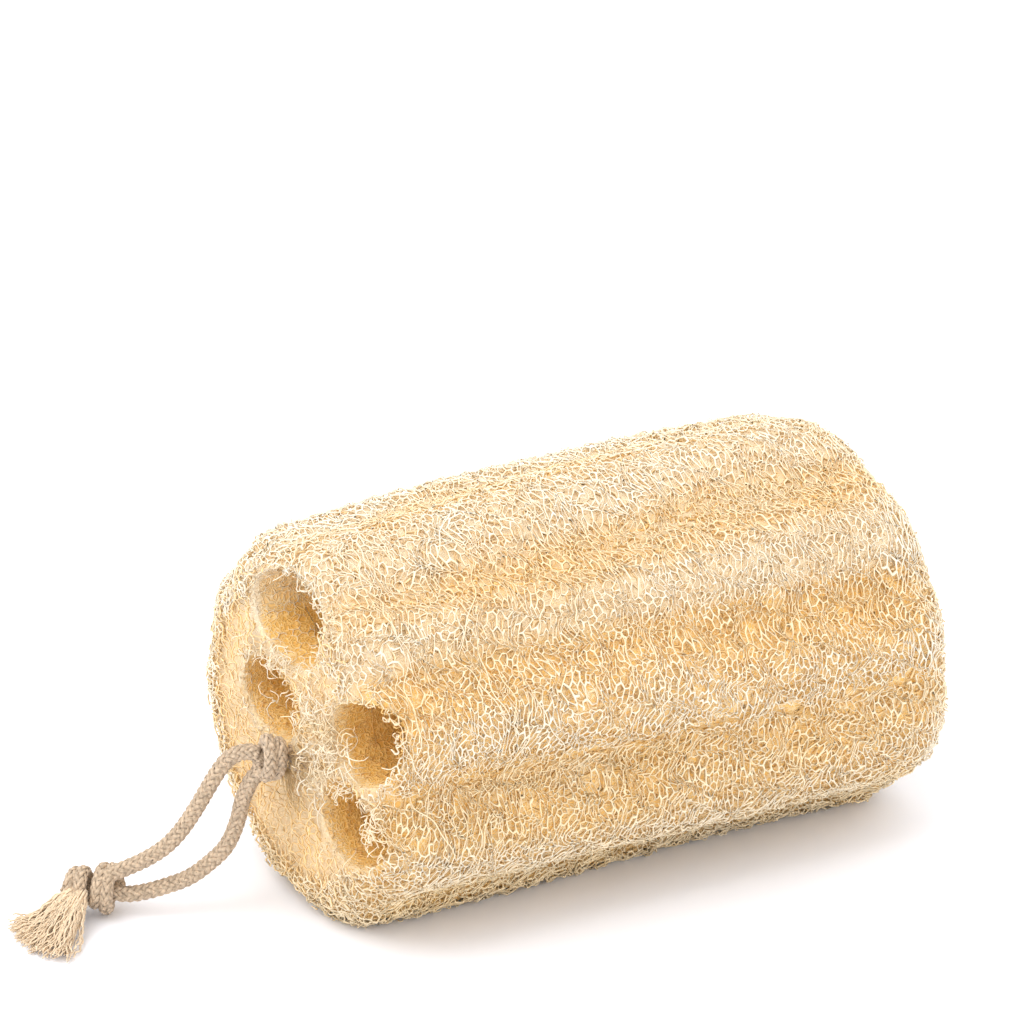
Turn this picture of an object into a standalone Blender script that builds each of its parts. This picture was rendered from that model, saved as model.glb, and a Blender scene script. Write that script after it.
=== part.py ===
"""A natural loofah sponge on its side, with the knotted cord that it hangs by.

Run it with blender --background --python part.py, or from Blender's text editor.
Units are metres and +Z is up. The loofah's length runs along X, with its corded end at -X. The origin is
on the surface that it lies on, below the middle of its length.

The fibre of the loofah grew as one piece, so it is one solid: ten ribs, rounded rims, a raised net all
round, and four seed channels that run from end to end. The net is larger than life here. The cord is
one length of braid: it comes out of the knot on the loofah as two legs, and behind that knot it passes
round some of the core's fibre as a short loop.
"""
import math
import random

import bmesh
import bpy
from mathutils import Vector, noise
from mathutils.bvhtree import BVHTree
from mathutils.geometry import delaunay_2d_cdt

# The loofah's outside. Angles go round its length, from the near side (-Y), up over the top.
LENGTH = 0.150
CORD_END_RADIUS = 0.0454
FAR_END_RADIUS = 0.0477
BELLY = 0.0018
CORD_END_ROUNDING = 0.012
FAR_END_ROUNDING = 0.0155
# The axis lies at this share of the radius above the floor, so the two lowest ribs are pressed flat.
AXIS_HEIGHT_SHARE = 0.918
PRESSED_HEIGHT = 0.0035
# How far each end is cut out of square, in metres along X for each metre across (Y) and up (Z).
CORD_END_SLANT = (-0.05, -0.02)
FAR_END_SLANT = (-0.04, -0.085)
SLANTED_LENGTH = 0.045
# The grooves between the ribs: angle in degrees, depth, and half width in degrees.
GROOVES = (
    (105, 0.0034, 10),
    (66, 0.0052, 11),
    (32, 0.0046, 11),
    (-4, 0.0058, 12),
    (-49, 0.0046, 12),
    (-90, 0.0040, 11),
    (-126, 0.0046, 11),
    (-160, 0.0048, 10),
    (168, 0.0044, 10),
    (137, 0.0036, 9),
)
GROOVE_WANDER = 3.5
# The grooves run out towards the rims: the depth left there, and over what length they fade.
GROOVE_AT_RIM = 0.5
GROOVE_FADE_LENGTH = 0.022

# The raised net: cells round the loofah, rows of them from face to face, the cells' depth, and how much
# of the way to a cell's middle its sloping sides take.
CELLS_ROUND = 26
CELL_ROWS = 19
CELL_DEPTH = 0.0019
CELL_SIDES = 0.30
CELL_JITTER = 0.16
FACE_MARGIN = 0.003
FACE_CELL = 0.0047
FACE_ROUGHNESS = 0.0010

# The seed channels: name, then for each end the centre (across, up from the axis) and the half sizes.
CHANNELS = (
    ("upper_channel", (-0.0010, 0.0290), (0.0150, 0.0102), (0.0020, 0.0270), (0.0140, 0.0105)),
    ("far_channel", (0.0100, 0.0088), (0.0122, 0.0084), (0.0165, 0.0050), (0.0120, 0.0095)),
    ("near_channel", (-0.0298, 0.0120), (0.0092, 0.0097), (-0.0205, 0.0092), (0.0095, 0.0106)),
    ("lower_channel", (-0.0262, -0.0105), (0.0122, 0.0098), (-0.0200, -0.0160), (0.0120, 0.0100)),
)
CHANNEL_SIDES = 14
CHANNEL_STEPS = 8
CHANNEL_LUMPS = 0.0007
CHANNEL_OVERRUN = 0.008

# The cord, its knots and its tassel.
CORD_RADIUS = 0.00185
CLEARANCE = 0.0003
CORD_POINT_SPACING = 0.0042
LOOP_POINT_SPACING = 0.0030
END_FACE_POINTS = 10
UPPER_KNOT = Vector((-0.0802, -0.0037, 0.0398))
UPPER_KNOT_HALF = (0.0038, 0.0042, 0.0057)
LOWER_KNOT = Vector((-0.1151, 0.0170, 0.0062))
LOWER_KNOT_HALF = (0.0058, 0.0076, 0.0060)
UPPER_KNOT_TURN = 0.0
LOWER_KNOT_TURN = math.radians(59)
KNOT_GRAIN = 0.00075
KNOT_TRIANGLE_SHARE = 0.34
# The route of the loop behind the upper knot, as depth from the end face and distance to each side.
LOOP_HALF = ((-0.0012, 0.0029), (0.0020, 0.0031), (0.0052, 0.0044), (0.0085, 0.0054), (0.0118, 0.0046))
LOOP_END_DEPTH = 0.0140
LOOP_ACROSS = -0.0038
LOOP_HEIGHTS = (0.0388, 0.0352)
TUNNEL_OVERRUN = 0.004
UPPER_LEG = (
    (-0.0820, -0.0022, 0.0404),
    (-0.0846, -0.0003, 0.0407),
    (-0.0875, 0.0014, 0.0392),
    (-0.0898, 0.0025, 0.0362),
    (-0.0923, 0.0033, 0.0319),
    (-0.0951, 0.0043, 0.0268),
    (-0.0982, 0.0056, 0.0217),
    (-0.1015, 0.0072, 0.0177),
    (-0.1053, 0.0095, 0.0145),
    (-0.1094, 0.0120, 0.0120),
    (-0.1128, 0.0142, 0.0101),
)
LOWER_LEG = (
    (-0.0812, -0.0028, 0.0372),
    (-0.0833, -0.0011, 0.0342),
    (-0.0844, -0.0002, 0.0313),
    (-0.0856, 0.0002, 0.0280),
    (-0.0868, 0.0002, 0.0236),
    (-0.0894, 0.0007, 0.0180),
    (-0.0932, 0.0026, 0.0135),
    (-0.0971, 0.0050, 0.0099),
    (-0.1018, 0.0081, 0.0074),
    (-0.1059, 0.0105, 0.0059),
    (-0.1092, 0.0124, 0.0054),
    (-0.1125, 0.0148, 0.0058),
)
YARNS = 18
YARN_RADIUS = 0.00055
YARN_POINTS = 7
YARN_WAVE = 0.0009
YARN_ROOT_SPREAD = 0.0030
TASSEL_HEADING = math.radians(-150)
TASSEL_FAN = math.radians(86)
TASSEL_REACH = (0.0135, 0.0185)
TASSEL_UNEVEN = 0.0012
TASSEL_ROOT = 0.0042
TASSEL_ROOT_RADIUS = 0.0030

MATERIALS = {
    "loofah fibre": ((0.90, 0.74, 0.50), 0.75),
    "braided cord": ((0.60, 0.50, 0.38), 0.85),
    "cord yarn": ((0.80, 0.68, 0.50), 0.85),
}


def clear_scene():
    for thing in list(bpy.data.objects):
        bpy.data.objects.remove(thing, do_unlink=True)


def new_collection(name):
    collection = bpy.data.collections.new(name)
    bpy.context.scene.collection.children.link(collection)
    return collection


def material(name):
    """A plain finish in the colour of this sub-part."""
    found = bpy.data.materials.get(name)
    if found:
        return found
    colour, roughness = MATERIALS[name]
    made = bpy.data.materials.new(name)
    made.use_nodes = True
    shader = made.node_tree.nodes["Principled BSDF"]
    shader.inputs["Base Color"].default_value = (*colour, 1.0)
    shader.inputs["Roughness"].default_value = roughness
    shader.inputs["Metallic"].default_value = 0.0
    return made


def object_from_bmesh(bm, name, collection):
    mesh = bpy.data.meshes.new(name)
    bm.to_mesh(mesh)
    bm.free()
    made = bpy.data.objects.new(name, mesh)
    collection.objects.link(made)
    return made


def smooth_step(value):
    value = min(max(value, 0.0), 1.0)
    return value * value * (3 - 2 * value)


def plain_radius(x):
    """The loofah's radius over its ribs: it widens from end to end and has a slight belly."""
    along = x / LENGTH + 0.5
    taper = CORD_END_RADIUS + (FAR_END_RADIUS - CORD_END_RADIUS) * along
    return taper + BELLY * 4 * along * (1 - along)


def groove_depth(x, angle):
    """How far the surface sinks between the ribs at this angle, in degrees."""
    along = x / LENGTH + 0.5
    total = 0.0
    for place, depth, half_width in GROOVES:
        wander = GROOVE_WANDER * math.sin(math.tau * 0.8 * along + place)
        off = (angle - place - wander + 180) % 360 - 180
        swell = 1 + 0.25 * math.sin(math.tau * along + 0.05 * place)
        total += depth * swell * math.exp(-((off / half_width) ** 2))
    fade = smooth_step((LENGTH / 2 - abs(x)) / GROOVE_FADE_LENGTH)
    return total * (GROOVE_AT_RIM + (1 - GROOVE_AT_RIM) * fade)


def axis_height(x):
    return AXIS_HEIGHT_SHARE * plain_radius(x)


def end_slant(x, across, up):
    """How far a point moves along X because the ends are cut out of square."""
    slant = CORD_END_SLANT if x < 0 else FAR_END_SLANT
    near_end = smooth_step((abs(x) - LENGTH / 2 + SLANTED_LENGTH) / SLANTED_LENGTH)
    return near_end * (slant[0] * across + slant[1] * up)


def place_point(x, share, lean, angle, depth=0.0):
    """A point of the outside: share is its part of the radius, and depth sinks it below the net.

    Lean is how far the surface faces along X there: 0 on the side, and a quarter turn on an end face.
    """
    radius = plain_radius(x) * share - groove_depth(x, angle) * share ** 2
    turn = math.radians(angle)
    height = axis_height(x) + radius * math.sin(turn)
    depth *= smooth_step(height / PRESSED_HEIGHT)
    radius -= depth * math.cos(lean)
    across = -radius * math.cos(turn)
    up = radius * math.sin(turn)
    inwards = -depth * math.sin(lean)
    height = max(axis_height(x) + up, 0.0)
    return Vector((x + inwards + end_slant(x, across, up), across, height))


def meridian():
    """The line from one end face, round its rim, along the side and round the other rim to that face.

    It comes as stretches: length, and a function from the share of that length to (x, radius share,
    lean).
    """
    def face(end, rounding, outwards):
        radius = CORD_END_RADIUS if end < 0 else FAR_END_RADIUS
        rim = 1 - rounding / radius
        start = rim - FACE_MARGIN / radius

        def at(t):
            t = t if outwards else 1 - t
            return end * LENGTH / 2, start + (rim - start) * t, end * math.pi / 2
        return FACE_MARGIN, at

    def rim(end, rounding, outwards):
        radius = CORD_END_RADIUS if end < 0 else FAR_END_RADIUS

        def at(t):
            turn = math.pi / 2 * (t if outwards else 1 - t)
            x = end * (LENGTH / 2 - rounding * (1 - math.cos(turn)))
            return x, 1 - rounding * (1 - math.sin(turn)) / radius, end * (math.pi / 2 - turn)
        return rounding * math.pi / 2, at

    side_start = -LENGTH / 2 + CORD_END_ROUNDING
    side_end = LENGTH / 2 - FAR_END_ROUNDING
    side_length = side_end - side_start
    side = (side_length, lambda t: (side_start + side_length * t, 1.0, 0.0))
    return [
        face(-1, CORD_END_ROUNDING, True),
        rim(-1, CORD_END_ROUNDING, True),
        side,
        rim(1, FAR_END_ROUNDING, False),
        face(1, FAR_END_ROUNDING, False),
    ]


def on_meridian(stretches, distance):
    """The place (x, radius share, lean) at a distance along the meridian."""
    for length, at in stretches:
        if distance <= length:
            return at(max(distance, 0.0) / length)
        distance -= length
    return stretches[-1][1](1.0)


def close_end(bm, ring, end):
    """Fills one end face with a rough net of its own, joined to the last ring of the side."""
    rng = random.Random(20 + end)
    flat = [Vector((v.co.y, v.co.z)) for v in ring]
    centre = sum(flat, Vector((0, 0))) / len(flat)
    reach = min((p - centre).length for p in flat) - 0.55 * FACE_CELL
    inner = []
    sunk = []
    steps = int(reach / FACE_CELL) + 2
    for row in range(-steps, steps + 1):
        for column in range(-steps, steps + 1):
            across = (column + row / 2) * FACE_CELL
            up = row * FACE_CELL * math.sqrt(3) / 2
            if math.hypot(across, up) > reach:
                continue
            pit = (column - row) % 3 == 0
            shake = FACE_CELL * CELL_JITTER
            nudge = Vector((rng.uniform(-shake, shake), rng.uniform(-shake, shake)))
            inner.append(centre + Vector((across, up)) + nudge)
            sunk.append(CELL_DEPTH if pit else rng.uniform(-1, 1) * FACE_ROUGHNESS)
    rim = list(range(len(flat)))
    points, _, faces, sources, _, _ = delaunay_2d_cdt(flat + inner, [], [rim], 1, 1e-7)
    corner = []
    for point, source in zip(points, sources):
        number = source[0]
        if number < len(ring):
            corner.append(ring[number])
            continue
        across = point.x
        up = point.y - axis_height(end * LENGTH / 2)
        x = end * (LENGTH / 2 - sunk[number - len(ring)])
        corner.append(bm.verts.new((x + end_slant(x, across, up), across, point.y)))
    for face in faces:
        bm.faces.new([corner[i] for i in face])


def loofah_outside(collection):
    """The closed outside of the loofah: a net of six-sided cells wrapped round it, each cell sunk."""
    rng = random.Random(5)
    stretches = meridian()
    total = sum(length for length, _ in stretches)
    pitch = total / CELL_ROWS
    step = 180 / CELLS_ROUND
    bm = bmesh.new()
    rings = []
    spots = {}
    for row in range(CELL_ROWS + 1):
        ring = []
        for number in range(2 * CELLS_ROUND):
            side = -1 if (number + row) % 2 else 1
            distance = row * pitch + side * pitch / 6
            angle = number * step
            if 0 < row < CELL_ROWS:
                distance += rng.uniform(-1, 1) * CELL_JITTER * pitch
                angle += rng.uniform(-1, 1) * CELL_JITTER * 2 * step
            distance = min(max(distance, 0.0), total)
            vert = bm.verts.new(place_point(*on_meridian(stretches, distance), angle))
            spots[vert] = (distance, angle)
            ring.append(vert)
        rings.append(ring)
    cells = []
    for row in range(CELL_ROWS):
        low = rings[row]
        high = rings[row + 1]
        for number in range(row % 2, 2 * CELLS_ROUND, 2):
            a = number
            b = (number + 1) % (2 * CELLS_ROUND)
            c = (number + 2) % (2 * CELLS_ROUND)
            corners = (low[a], low[b], low[c], high[c], high[b], high[a])
            cells.append((corners, (row + 0.5) * pitch, (number + 1) * step))
    close_end(bm, rings[0], -1)
    close_end(bm, rings[-1], 1)
    for corners, middle, middle_angle in cells:
        cell = bm.faces.new(corners)
        depth = CELL_DEPTH * rng.uniform(0.85, 1.2)
        bmesh.ops.inset_individual(bm, faces=[cell], thickness=0.0)
        for vert, corner in zip(cell.verts, corners):
            distance, angle = spots[corner]
            off = (angle - middle_angle + 180) % 360 - 180
            distance += (middle - distance) * CELL_SIDES
            angle = middle_angle + off * (1 - CELL_SIDES)
            vert.co = place_point(*on_meridian(stretches, distance), angle, depth)
    bmesh.ops.triangulate(bm, faces=bm.faces)
    bmesh.ops.recalc_face_normals(bm, faces=bm.faces)
    return object_from_bmesh(bm, "loofah", collection)


def channel_cutter(name, start, start_half, end, end_half, collection):
    """A lumpy tapered tube, past both ends of the loofah, that cuts one seed channel."""
    reach = LENGTH / 2 + CHANNEL_OVERRUN
    bm = bmesh.new()
    bmesh.ops.create_cone(bm, cap_ends=True, segments=CHANNEL_SIDES, radius1=1, radius2=1, depth=2)
    long_edges = [e for e in bm.edges if abs(e.verts[0].co.z - e.verts[1].co.z) > 1]
    bmesh.ops.subdivide_edges(bm, edges=long_edges, cuts=CHANNEL_STEPS - 1)
    for vert in bm.verts:
        x = reach * vert.co.z
        along = min(max(x / LENGTH + 0.5, 0.0), 1.0)
        centre = Vector(start).lerp(Vector(end), along)
        half = Vector(start_half).lerp(Vector(end_half), along)
        round_angle = math.atan2(vert.co.y, vert.co.x)
        across = half.x * math.cos(round_angle)
        up = half.y * math.sin(round_angle)
        lump = CHANNEL_LUMPS * noise.noise(Vector((x, across + centre.x, up + centre.y)) * 90)
        scale = 1 + lump / math.hypot(across, up)
        vert.co = (x, centre.x + across * scale, axis_height(x) + centre.y + up * scale)
    return as_cutter(object_from_bmesh(bm, name, collection))


def as_cutter(thing):
    thing.hide_render = True
    thing.display_type = "WIRE"
    return thing


def catmull_rom(route, per_span=8):
    """Points of a smooth curve through the route's points."""
    route = [Vector(p) for p in route]
    ends = [2 * route[0] - route[1]] + route + [2 * route[-1] - route[-2]]
    points = []
    for i in range(1, len(ends) - 2):
        before, here, there, after = ends[i - 1:i + 3]
        for k in range(per_span):
            t = k / per_span
            points.append(0.5 * (2 * here + (there - before) * t
                                 + (2 * before - 5 * here + 4 * there - after) * t ** 2
                                 + (3 * here - before - 3 * there + after) * t ** 3))
    points.append(route[-1])
    return points


def evenly(points, spacing):
    """The same line with its points about this far apart."""
    lengths = [0.0]
    for a, b in zip(points, points[1:]):
        lengths.append(lengths[-1] + (b - a).length)
    count = max(2, round(lengths[-1] / spacing))
    result = []
    i = 0
    for k in range(count + 1):
        target = lengths[-1] * k / count
        while i < len(lengths) - 2 and lengths[i + 1] < target:
            i += 1
        share = (target - lengths[i]) / (lengths[i + 1] - lengths[i])
        result.append(points[i].lerp(points[i + 1], min(share, 1.0)))
    return result


def tube(name, points, radius, collection, resolution=2, closed=False):
    """A round cord as a curve object with filled caps."""
    curve = bpy.data.curves.new(name, "CURVE")
    curve.dimensions = "3D"
    curve.bevel_depth = radius
    curve.bevel_resolution = resolution
    curve.use_fill_caps = True
    spline = curve.splines.new("POLY")
    spline.points.add(len(points) - 1)
    for point, place in zip(spline.points, points):
        point.co = (*place, 1.0)
    spline.use_cyclic_u = closed
    made = bpy.data.objects.new(name, curve)
    collection.objects.link(made)
    return made


def mesh_from_curve(made, collection):
    """The curve's evaluated mesh as a welded, closed mesh object that takes its name."""
    bpy.context.view_layer.update()
    graph = bpy.context.evaluated_depsgraph_get()
    mesh = bpy.data.meshes.new_from_object(made.evaluated_get(graph))
    bm = bmesh.new()
    bm.from_mesh(mesh)
    bmesh.ops.remove_doubles(bm, verts=bm.verts, dist=1e-6)
    bmesh.ops.recalc_face_normals(bm, faces=bm.faces)
    bm.to_mesh(mesh)
    bm.free()
    name = made.name
    matrix = made.matrix_world.copy()
    bpy.data.objects.remove(made, do_unlink=True)
    solid = bpy.data.objects.new(name, mesh)
    solid.matrix_world = matrix
    collection.objects.link(solid)
    return solid


def apply_modifiers(thing):
    """Replaces the object's mesh by its evaluated one."""
    bpy.context.view_layer.update()
    graph = bpy.context.evaluated_depsgraph_get()
    mesh = bpy.data.meshes.new_from_object(thing.evaluated_get(graph))
    thing.modifiers.clear()
    thing.data = mesh


def surface_tree(thing):
    """The object's surface in world space, for measuring distances to it."""
    bm = bmesh.new()
    bm.from_mesh(thing.data)
    bm.transform(thing.matrix_basis)
    tree = BVHTree.FromBMesh(bm)
    bm.free()
    return tree


def clear_of(tree, centre, radius):
    """Whether a ball here stays the usual clearance away from a closed surface."""
    place, normal, _, distance = tree.find_nearest(centre)
    outside = (centre - place).dot(normal) > 0
    return outside and distance > radius + CLEARANCE


def end_face_clear(tree, centre, direction, radius=CORD_RADIUS):
    """Whether a cord's round end face, square to a direction, stays clear of a closed surface."""
    side = direction.orthogonal().normalized()
    other = direction.cross(side).normalized()
    turns = [math.tau * k / END_FACE_POINTS for k in range(END_FACE_POINTS)]
    rim = [centre + radius * (side * math.cos(turn) + other * math.sin(turn)) for turn in turns]
    return all(clear_of(tree, place, 0.0) for place in [centre] + rim)


def trim_to_knots(points, trees, spacing):
    """Shortens a cord's line at both ends until what is left just clears the knots it runs into."""
    step = CORD_RADIUS / 10
    ahead = round(spacing / step)
    points = evenly(points, step)
    for _ in range(2):
        first_clear = 0
        for i in range(len(points) // 2):
            direction = points[i + ahead] - points[i]
            if not all(end_face_clear(tree, points[i], direction) for tree in trees):
                first_clear = i + 1
        points = points[first_clear:][::-1]
    return points


def loop_route(extra):
    """The loop round the core's fibre: in from the upper knot, round and back, seen from above."""
    face = -LENGTH / 2
    sides = []
    for sign in (1, -1):
        side = []
        first, last = LOOP_HALF[0][0], LOOP_HALF[-1][0]
        if extra:
            side.append(Vector((face + first - extra, LOOP_ACROSS + sign * LOOP_HALF[0][1],
                                LOOP_HEIGHTS[0])))
        for depth, half in LOOP_HALF:
            t = (depth - first) / (last - first)
            height = LOOP_HEIGHTS[0] + (LOOP_HEIGHTS[1] - LOOP_HEIGHTS[0]) * t
            side.append(Vector((face + depth, LOOP_ACROSS + sign * half, height)))
        sides.append(side)
    turn = Vector((face + LOOP_END_DEPTH, LOOP_ACROSS, LOOP_HEIGHTS[1]))
    return sides[0] + [turn] + sides[1][::-1]


def build_loofah(part, cutters):
    loofah = loofah_outside(part)
    for name, *sizes in CHANNELS:
        channel_cutter(name, *sizes, cutters)
    points = evenly(catmull_rom(loop_route(TUNNEL_OVERRUN)), LOOP_POINT_SPACING)
    tunnel = tube("loop_tunnel", points, CORD_RADIUS + 1.5 * CLEARANCE, cutters)
    as_cutter(mesh_from_curve(tunnel, cutters))
    cut = loofah.modifiers.new("channels", "BOOLEAN")
    cut.operation = "DIFFERENCE"
    cut.operand_type = "COLLECTION"
    cut.collection = cutters
    cut.solver = "EXACT"
    loofah.data.materials.append(material("loofah fibre"))


def knot(name, centre, half, turn, part):
    """A tight overhand knot: its tube touches itself all over, so the turns are fused into one body."""
    steps = 48
    points = []
    for k in range(steps):
        t = math.tau * k / steps
        shape = Vector((math.sin(t) + 2 * math.sin(2 * t), math.cos(t) - 2 * math.cos(2 * t), 0)) / 3
        shape.z = -math.sin(3 * t)
        points.append(shape)
    size = [h - CORD_RADIUS for h in half]
    turned = [Vector((p.z * size[0], p.x * size[1], p.y * size[2])) for p in points]
    made = mesh_from_curve(tube(name, turned, CORD_RADIUS, part, closed=True), part)
    fuse = made.modifiers.new("fuse turns", "REMESH")
    fuse.mode = "VOXEL"
    fuse.voxel_size = KNOT_GRAIN
    thin = made.modifiers.new("fewer faces", "DECIMATE")
    thin.ratio = KNOT_TRIANGLE_SHARE
    apply_modifiers(made)
    made.location = centre
    made.rotation_euler = (0.0, 0.0, turn)
    made.data.materials.append(material("braided cord"))
    made.data.shade_smooth()
    return made


def build_cord(part):
    """The knots, and between them the two legs and the loop behind the upper knot."""
    upper = knot("cord_knot_upper", UPPER_KNOT, UPPER_KNOT_HALF, UPPER_KNOT_TURN, part)
    lower = knot("cord_knot_lower", LOWER_KNOT, LOWER_KNOT_HALF, LOWER_KNOT_TURN, part)
    bpy.context.view_layer.update()
    trees = [surface_tree(upper), surface_tree(lower)]
    routes = (
        ("cord_loop", loop_route(0), LOOP_POINT_SPACING),
        ("cord_leg_upper", UPPER_LEG, CORD_POINT_SPACING),
        ("cord_leg_lower", LOWER_LEG, CORD_POINT_SPACING),
    )
    for name, route, spacing in routes:
        points = evenly(trim_to_knots(catmull_rom(route), trees, spacing), spacing)
        piece = tube(name, points, CORD_RADIUS, part)
        piece.data.materials.append(material("braided cord"))
    return trees


def build_tassel(part, knot_tree):
    """The frayed ends of the cord: wavy yarns that fan out on the floor from a short common root."""
    rng = random.Random(11)
    holder = new_collection("tassel yarns")
    away = Vector((math.cos(TASSEL_HEADING), math.sin(TASSEL_HEADING), 0))
    root = LOWER_KNOT.copy()
    while not end_face_clear(knot_tree, root, away, TASSEL_ROOT_RADIUS):
        root += away * CLEARANCE / 3
    core = [root, root + away * TASSEL_ROOT + Vector((0, 0, -TASSEL_ROOT / 5))]
    joined = mesh_from_curve(tube("cord_tassel", core, TASSEL_ROOT_RADIUS, part, resolution=3), part)
    for number in range(YARNS):
        spread = (number + 0.5) / YARNS - 0.5
        heading = TASSEL_HEADING + TASSEL_FAN * spread + rng.uniform(-0.05, 0.05)
        reach = TASSEL_REACH[0] + (TASSEL_REACH[1] - TASSEL_REACH[0]) * (number + 0.5) / YARNS
        reach += rng.uniform(-1, 1) * TASSEL_UNEVEN
        out = Vector((math.cos(heading), math.sin(heading), 0))
        beside = Vector((-out.y, out.x, 0))
        lift = rng.uniform(-1, 1)
        start = root + away * TASSEL_ROOT / 3 + beside * spread * YARN_ROOT_SPREAD
        start.z += lift * YARN_ROOT_SPREAD / 2
        phase = rng.uniform(0, math.tau)
        points = []
        for k in range(YARN_POINTS):
            t = k / (YARN_POINTS - 1)
            point = start + out * reach * t + beside * YARN_WAVE * t * math.sin(phase + 7 * t)
            floor = YARN_RADIUS * (1.1 + (2 + 2 * lift) * (1 - t) + (number % 3) * t)
            point.z = start.z + (floor - start.z) * smooth_step(1.35 * t)
            points.append(point)
        mesh_from_curve(tube(f"yarn_{number}", points, YARN_RADIUS, holder, resolution=0), holder)
    join = joined.modifiers.new("yarns", "BOOLEAN")
    join.operation = "UNION"
    join.operand_type = "COLLECTION"
    join.collection = holder
    join.solver = "EXACT"
    apply_modifiers(joined)
    for yarn in list(holder.objects):
        bpy.data.objects.remove(yarn, do_unlink=True)
    bpy.data.collections.remove(holder)
    joined.data.materials.clear()
    joined.data.materials.append(material("cord yarn"))


def main():
    clear_scene()
    part = new_collection("natural loofah sponge")
    cutters = new_collection("cutters")
    _, lower_knot_tree = build_cord(part)
    build_tassel(part, lower_knot_tree)
    build_loofah(part, cutters)


main()
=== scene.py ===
"""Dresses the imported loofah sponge: its fibre nets, stray fibres, braided cord, knots and tassel.

Everything is in metres, in the frame's own axes: the loofah's length runs along X, with its corded end at
-X, and it lies on the floor at Z = 0. The fibre nets are built from one rule: points spread over a surface
are joined into triangles, and a strand of fibre crosses each edge between two triangles, so that the
strands close round every point as the meshes of a net.
"""

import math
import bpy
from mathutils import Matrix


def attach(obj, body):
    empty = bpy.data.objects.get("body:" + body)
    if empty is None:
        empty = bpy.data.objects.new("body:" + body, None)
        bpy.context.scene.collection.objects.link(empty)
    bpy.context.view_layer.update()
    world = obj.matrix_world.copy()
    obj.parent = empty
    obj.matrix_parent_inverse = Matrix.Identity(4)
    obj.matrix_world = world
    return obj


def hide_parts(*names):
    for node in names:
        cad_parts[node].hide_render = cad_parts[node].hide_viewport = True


bl_info = {
    "name": "Natural loofah sponge",
    "version": (1, 0, 0),
    "blender": (4, 5, 0),
    "location": "View3D > Sidebar > Loofah",
    "description": "Fibre nets, braided cord and studio stage for a natural loofah sponge",
    "category": "Object",
}

import bmesh
import bpy
import numpy as np
from bpy.props import FloatProperty, FloatVectorProperty, IntProperty, PointerProperty
from mathutils import Matrix, Vector
from mathutils.geometry import delaunay_2d_cdt

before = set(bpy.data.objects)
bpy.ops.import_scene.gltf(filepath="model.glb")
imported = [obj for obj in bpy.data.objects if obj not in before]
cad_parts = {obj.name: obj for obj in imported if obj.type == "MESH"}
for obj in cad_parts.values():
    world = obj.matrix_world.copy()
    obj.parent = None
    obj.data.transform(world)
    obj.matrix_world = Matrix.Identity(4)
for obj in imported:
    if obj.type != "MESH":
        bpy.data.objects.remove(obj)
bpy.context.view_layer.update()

# The loofah's outside, as in the solid model. Angles go round its length, from the near side (-Y), up
# over the top.
LENGTH = 0.150
CORD_END_RADIUS = 0.0454
FAR_END_RADIUS = 0.0477
BELLY = 0.0018
CORD_END_ROUNDING = 0.012
FAR_END_ROUNDING = 0.0155
AXIS_HEIGHT_SHARE = 0.918
CORD_END_SLANT = (-0.05, -0.02)
FAR_END_SLANT = (-0.04, -0.085)
SLANTED_LENGTH = 0.045
FACE_MARGIN = 0.003
FLOOR_CLEARANCE = 0.0002
# The grooves between the ribs: angle in degrees, depth, and half width in degrees.
GROOVES = (
    (105, 0.0034, 10),
    (66, 0.0052, 11),
    (32, 0.0046, 11),
    (-4, 0.0058, 12),
    (-49, 0.0046, 12),
    (-90, 0.0040, 11),
    (-126, 0.0046, 11),
    (-160, 0.0048, 10),
    (168, 0.0044, 10),
    (137, 0.0036, 9),
)
# Each groove wanders by this many degrees, in so many waves along the loofah, and swells by this share. It
# is shallower at the rims.
GROOVE_WANDER = 3.5
GROOVE_WAVES = 0.8
GROOVE_SWELL = 0.25
GROOVE_AT_RIM = 0.5
GROOVE_FADE_LENGTH = 0.022
CHANNEL_NAMES = ("upper", "far", "near", "lower")
# The seed channels: for each end the centre (across, up from the axis) and the half sizes.
CHANNELS = (
    ((-0.0010, 0.0290), (0.0150, 0.0102), (0.0020, 0.0270), (0.0140, 0.0105)),
    ((0.0080, 0.0064), (0.0126, 0.0088), (0.0165, 0.0050), (0.0120, 0.0095)),
    ((-0.0316, 0.0110), (0.0102, 0.0092), (-0.0205, 0.0092), (0.0095, 0.0106)),
    ((-0.0262, -0.0105), (0.0122, 0.0098), (-0.0200, -0.0160), (0.0120, 0.0100)),
)
MOUTH_FLARE = 0.0007
FLARE_LENGTH = 0.010

# The core's depth below the outside, and the rows along and columns round it and round the tubes that cut
# its channels, which start past both ends.
CORE_DEPTH = 0.0016
CORE_GRID = (84, 120)
CUTTER_GRID = (34, 40)
CUTTER_OVERHANG = 0.008

# The side nets: the depth of the under net, the bumps of both, how much finer bumps add, how far their
# meshes stretch round the loofah, and their strands against the usual one.
UNDER_NET_DEPTH = 0.0011
NET_BUMP = 0.0004
FINE_BUMP_SHARE = 0.6
OUTER_STRETCH = 1.75
UNDER_STRAND = 1.1
SIDE_STRAND_THICKNESS = 0.9
OUTER_PARTS = 4
UNDER_PARTS = 2
# The end nets: their depth, bumps, scatter, how far they reach past the rim's curve, and their strands.
END_NET_DEPTH = 0.0003
END_NET_BUMP = 0.0007
END_NET_SCATTER = 0.0003
END_NET_OVERHANG = 0.0012
END_STRAND = 0.85
# The lining nets: bumps, how far they stand out of the channel's wall, the depth where they start, their
# length, the middle radius that sets their meshes, and their strands.
LINING_BUMP = 0.0003
LINING_RISE = 0.0001
LINING_START = 0.0005
LINING_LENGTH = 0.014
LINING_OVERHANG = 0.002
LINING_RADIUS = 0.0105
LINING_STRETCH = 0.7
LINING_THIN = 0.62
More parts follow.
